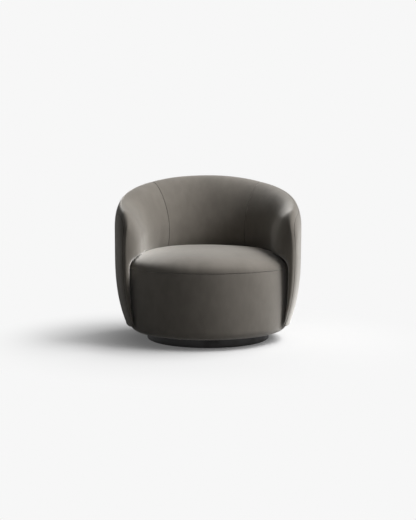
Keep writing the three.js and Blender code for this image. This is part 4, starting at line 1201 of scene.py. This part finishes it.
# pieces under the seat
pieceMaking = {"smoothAngle": 35.0, "bevelAngle": 60.0, "capFlat": 0.99, "capSides": 8}


def deselect():
    if bpy.context.object and bpy.context.object.mode != "OBJECT":
        bpy.ops.object.mode_set(mode="OBJECT")
    bpy.ops.object.select_all(action="DESELECT")


def finishPiece(piece, name, body, material):
    bpy.ops.object.transform_apply(location=True, rotation=True, scale=True)
    piece.name = name
    piece.data.name = name
    piece.data.materials.clear()
    piece.data.materials.append(material)
    bpy.ops.object.shade_smooth_by_angle(angle=math.radians(pieceMaking["smoothAngle"]))
    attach(piece, body)


def bevelled(piece, width, segments, angle=pieceMaking["bevelAngle"]):
    modifier = piece.modifiers.new("edges", "BEVEL")
    modifier.width = width
    modifier.segments = segments
    modifier.limit_method = "ANGLE"
    modifier.angle_limit = math.radians(angle)
    bpy.ops.object.modifier_apply(modifier="edges")


def facesWhere(piece, test):
    bpy.ops.object.mode_set(mode="EDIT")
    bpy.ops.mesh.select_mode(type="FACE")
    bpy.ops.mesh.select_all(action="DESELECT")
    bpy.ops.object.mode_set(mode="OBJECT")
    for face in piece.data.polygons:
        face.select = bool(test(face))
    bpy.ops.object.mode_set(mode="EDIT")


def turnedDisc(replaced, sides):
    low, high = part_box(replaced)
    middle = (low[2] + high[2]) / 2
    deselect()
    bpy.ops.mesh.primitive_cylinder_add(vertices=sides, radius=high[0], depth=high[2] - low[2],
                                        location=(0, 0, middle))
    return bpy.context.object


# a disc's two caps are its flat faces of many sides
def insetCaps(piece, thickness):
    facesWhere(piece, lambda face: abs(face.normal.z) > pieceMaking["capFlat"]
               and len(face.vertices) > pieceMaking["capSides"])
    bpy.ops.mesh.inset(thickness=thickness, use_individual=True)
    bpy.ops.object.mode_set(mode="OBJECT")


# the plinth is a turned disc with eased edges, its caps parted into rings of faces
plinthLook = {"sides": 192, "edge": 0.003, "edgeSteps": 4, "rings": (0.022, 0.066)}
plinth = turnedDisc("plinth_disc", plinthLook["sides"])
bevelled(plinth, plinthLook["edge"], plinthLook["edgeSteps"])
for ring in plinthLook["rings"]:
    insetCaps(plinth, ring)
finishPiece(plinth, "plinthDisc", "base", blackPaint)
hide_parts("plinth_disc")

# the felts have soft edges, and the one over the springs is thinner in bands where it is pressed
feltPieces = {
    "plinthFelt": {"node": "plinth_felt", "body": "base", "edge": 0.001, "rings": 6, "dent": 0.0},
    "springFelt": {"node": "spring_felt", "body": "seat", "edge": 0.0022, "rings": 14, "dent": 0.0009},
}
feltMaking = {"sides": 128, "edgeSteps": 3, "bands": 40.0, "rimPower": 4, "fill": 1.0}
for name, settings in feltPieces.items():
    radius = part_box(settings["node"])[1][0]
    felt = turnedDisc(settings["node"], feltMaking["sides"])
    bevelled(felt, settings["edge"], feltMaking["edgeSteps"])
    for ring in range(settings["rings"]):
        insetCaps(felt, radius / (settings["rings"] + 1))
    for point in felt.data.vertices:
        fromMiddle = math.hypot(point.co.x, point.co.y) / radius
        dent = settings["dent"] * math.cos(point.co.y * feltMaking["bands"])
        dent = max(0.0, dent * (1 - fromMiddle ** feltMaking["rimPower"]))
        point.co.z -= math.copysign(dent, point.co.z)
    finishPiece(felt, name, settings["body"], greyFelt)
    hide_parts(settings["node"])

# the lining is stretched under the base board and stapled along both edges
liningLook = {
    "inside": 0.22503, "sides": 160, "rings": 9, "cloth": 0.0006, "sag": 0.0012, "evenSagShare": 0.75,
    "staples": 28, "innerStaples": 18,
}
low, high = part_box("dust_cover")
liningOuter = high[0]
liningInner = liningLook["inside"]
deselect()
bpy.ops.mesh.primitive_circle_add(vertices=liningLook["sides"], radius=liningInner, location=(0, 0, high[2]))
lining = bpy.context.object
bpy.ops.object.mode_set(mode="EDIT")
bpy.ops.mesh.select_all(action="SELECT")
for ring in range(liningLook["rings"]):
    bpy.ops.mesh.extrude_edges_move()
    before = lerp(liningInner, liningOuter, ring / liningLook["rings"])
    after = lerp(liningInner, liningOuter, (ring + 1) / liningLook["rings"])
    bpy.ops.transform.resize(value=(after / before, after / before, 1))
bpy.ops.mesh.select_all(action="SELECT")
bpy.ops.mesh.normals_make_consistent(inside=False)
bpy.ops.object.mode_set(mode="OBJECT")
for point in lining.data.vertices:
    turn = math.atan2(point.co.y, point.co.x)
    across = (math.hypot(point.co.x, point.co.y) - liningInner) / (liningOuter - liningInner)
    pulled = lerp(math.cos(turn * liningLook["staples"]), 1, liningLook["evenSagShare"])
    point.co.z -= liningLook["sag"] * math.sin(math.pi * across) * pulled
solid = lining.modifiers.new("cloth", "SOLIDIFY")
solid.thickness = liningLook["cloth"]
solid.offset = 0
bpy.ops.object.modifier_apply(modifier="cloth")
for point in lining.data.vertices:
    point.co.z -= liningLook["cloth"]
finishPiece(lining, "baseLining", "seat", blackLining)
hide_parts("dust_cover")

# flat wire staples hold the lining's two edges
staple = {
    "length": 0.011, "width": 0.0013, "height": 0.0007, "fromEdge": 0.007, "edge": 0.0003, "edgeSteps": 2,
    "edgeAngle": 40.0,
}
stapleHeight = high[2] - 2 * liningLook["cloth"] - staple["height"] / 2
made = []
for radius, count in ((liningOuter - staple["fromEdge"], liningLook["staples"]),
                      (liningInner + staple["fromEdge"], liningLook["innerStaples"])):
    for k in range(count):
        turn = 2 * math.pi * (k + 0.5) / count
        middle = (radius * math.cos(turn), radius * math.sin(turn), stapleHeight)
        deselect()
        bpy.ops.mesh.primitive_cube_add(size=1, location=middle)
        wire = bpy.context.object
        wire.rotation_euler.z = turn + math.pi / 2
        wire.scale = (staple["length"], staple["width"], staple["height"])
        bpy.ops.object.transform_apply(location=False, rotation=False, scale=True)
        bevelled(wire, staple["edge"], staple["edgeSteps"], staple["edgeAngle"])
        made.append(wire)
deselect()
for wire in made:
    wire.select_set(True)
bpy.context.view_layer.objects.active = made[0]
bpy.ops.object.join()
finishPiece(made[0], "liningStaples", "seat", zincPlate)
print("base pieces ready")
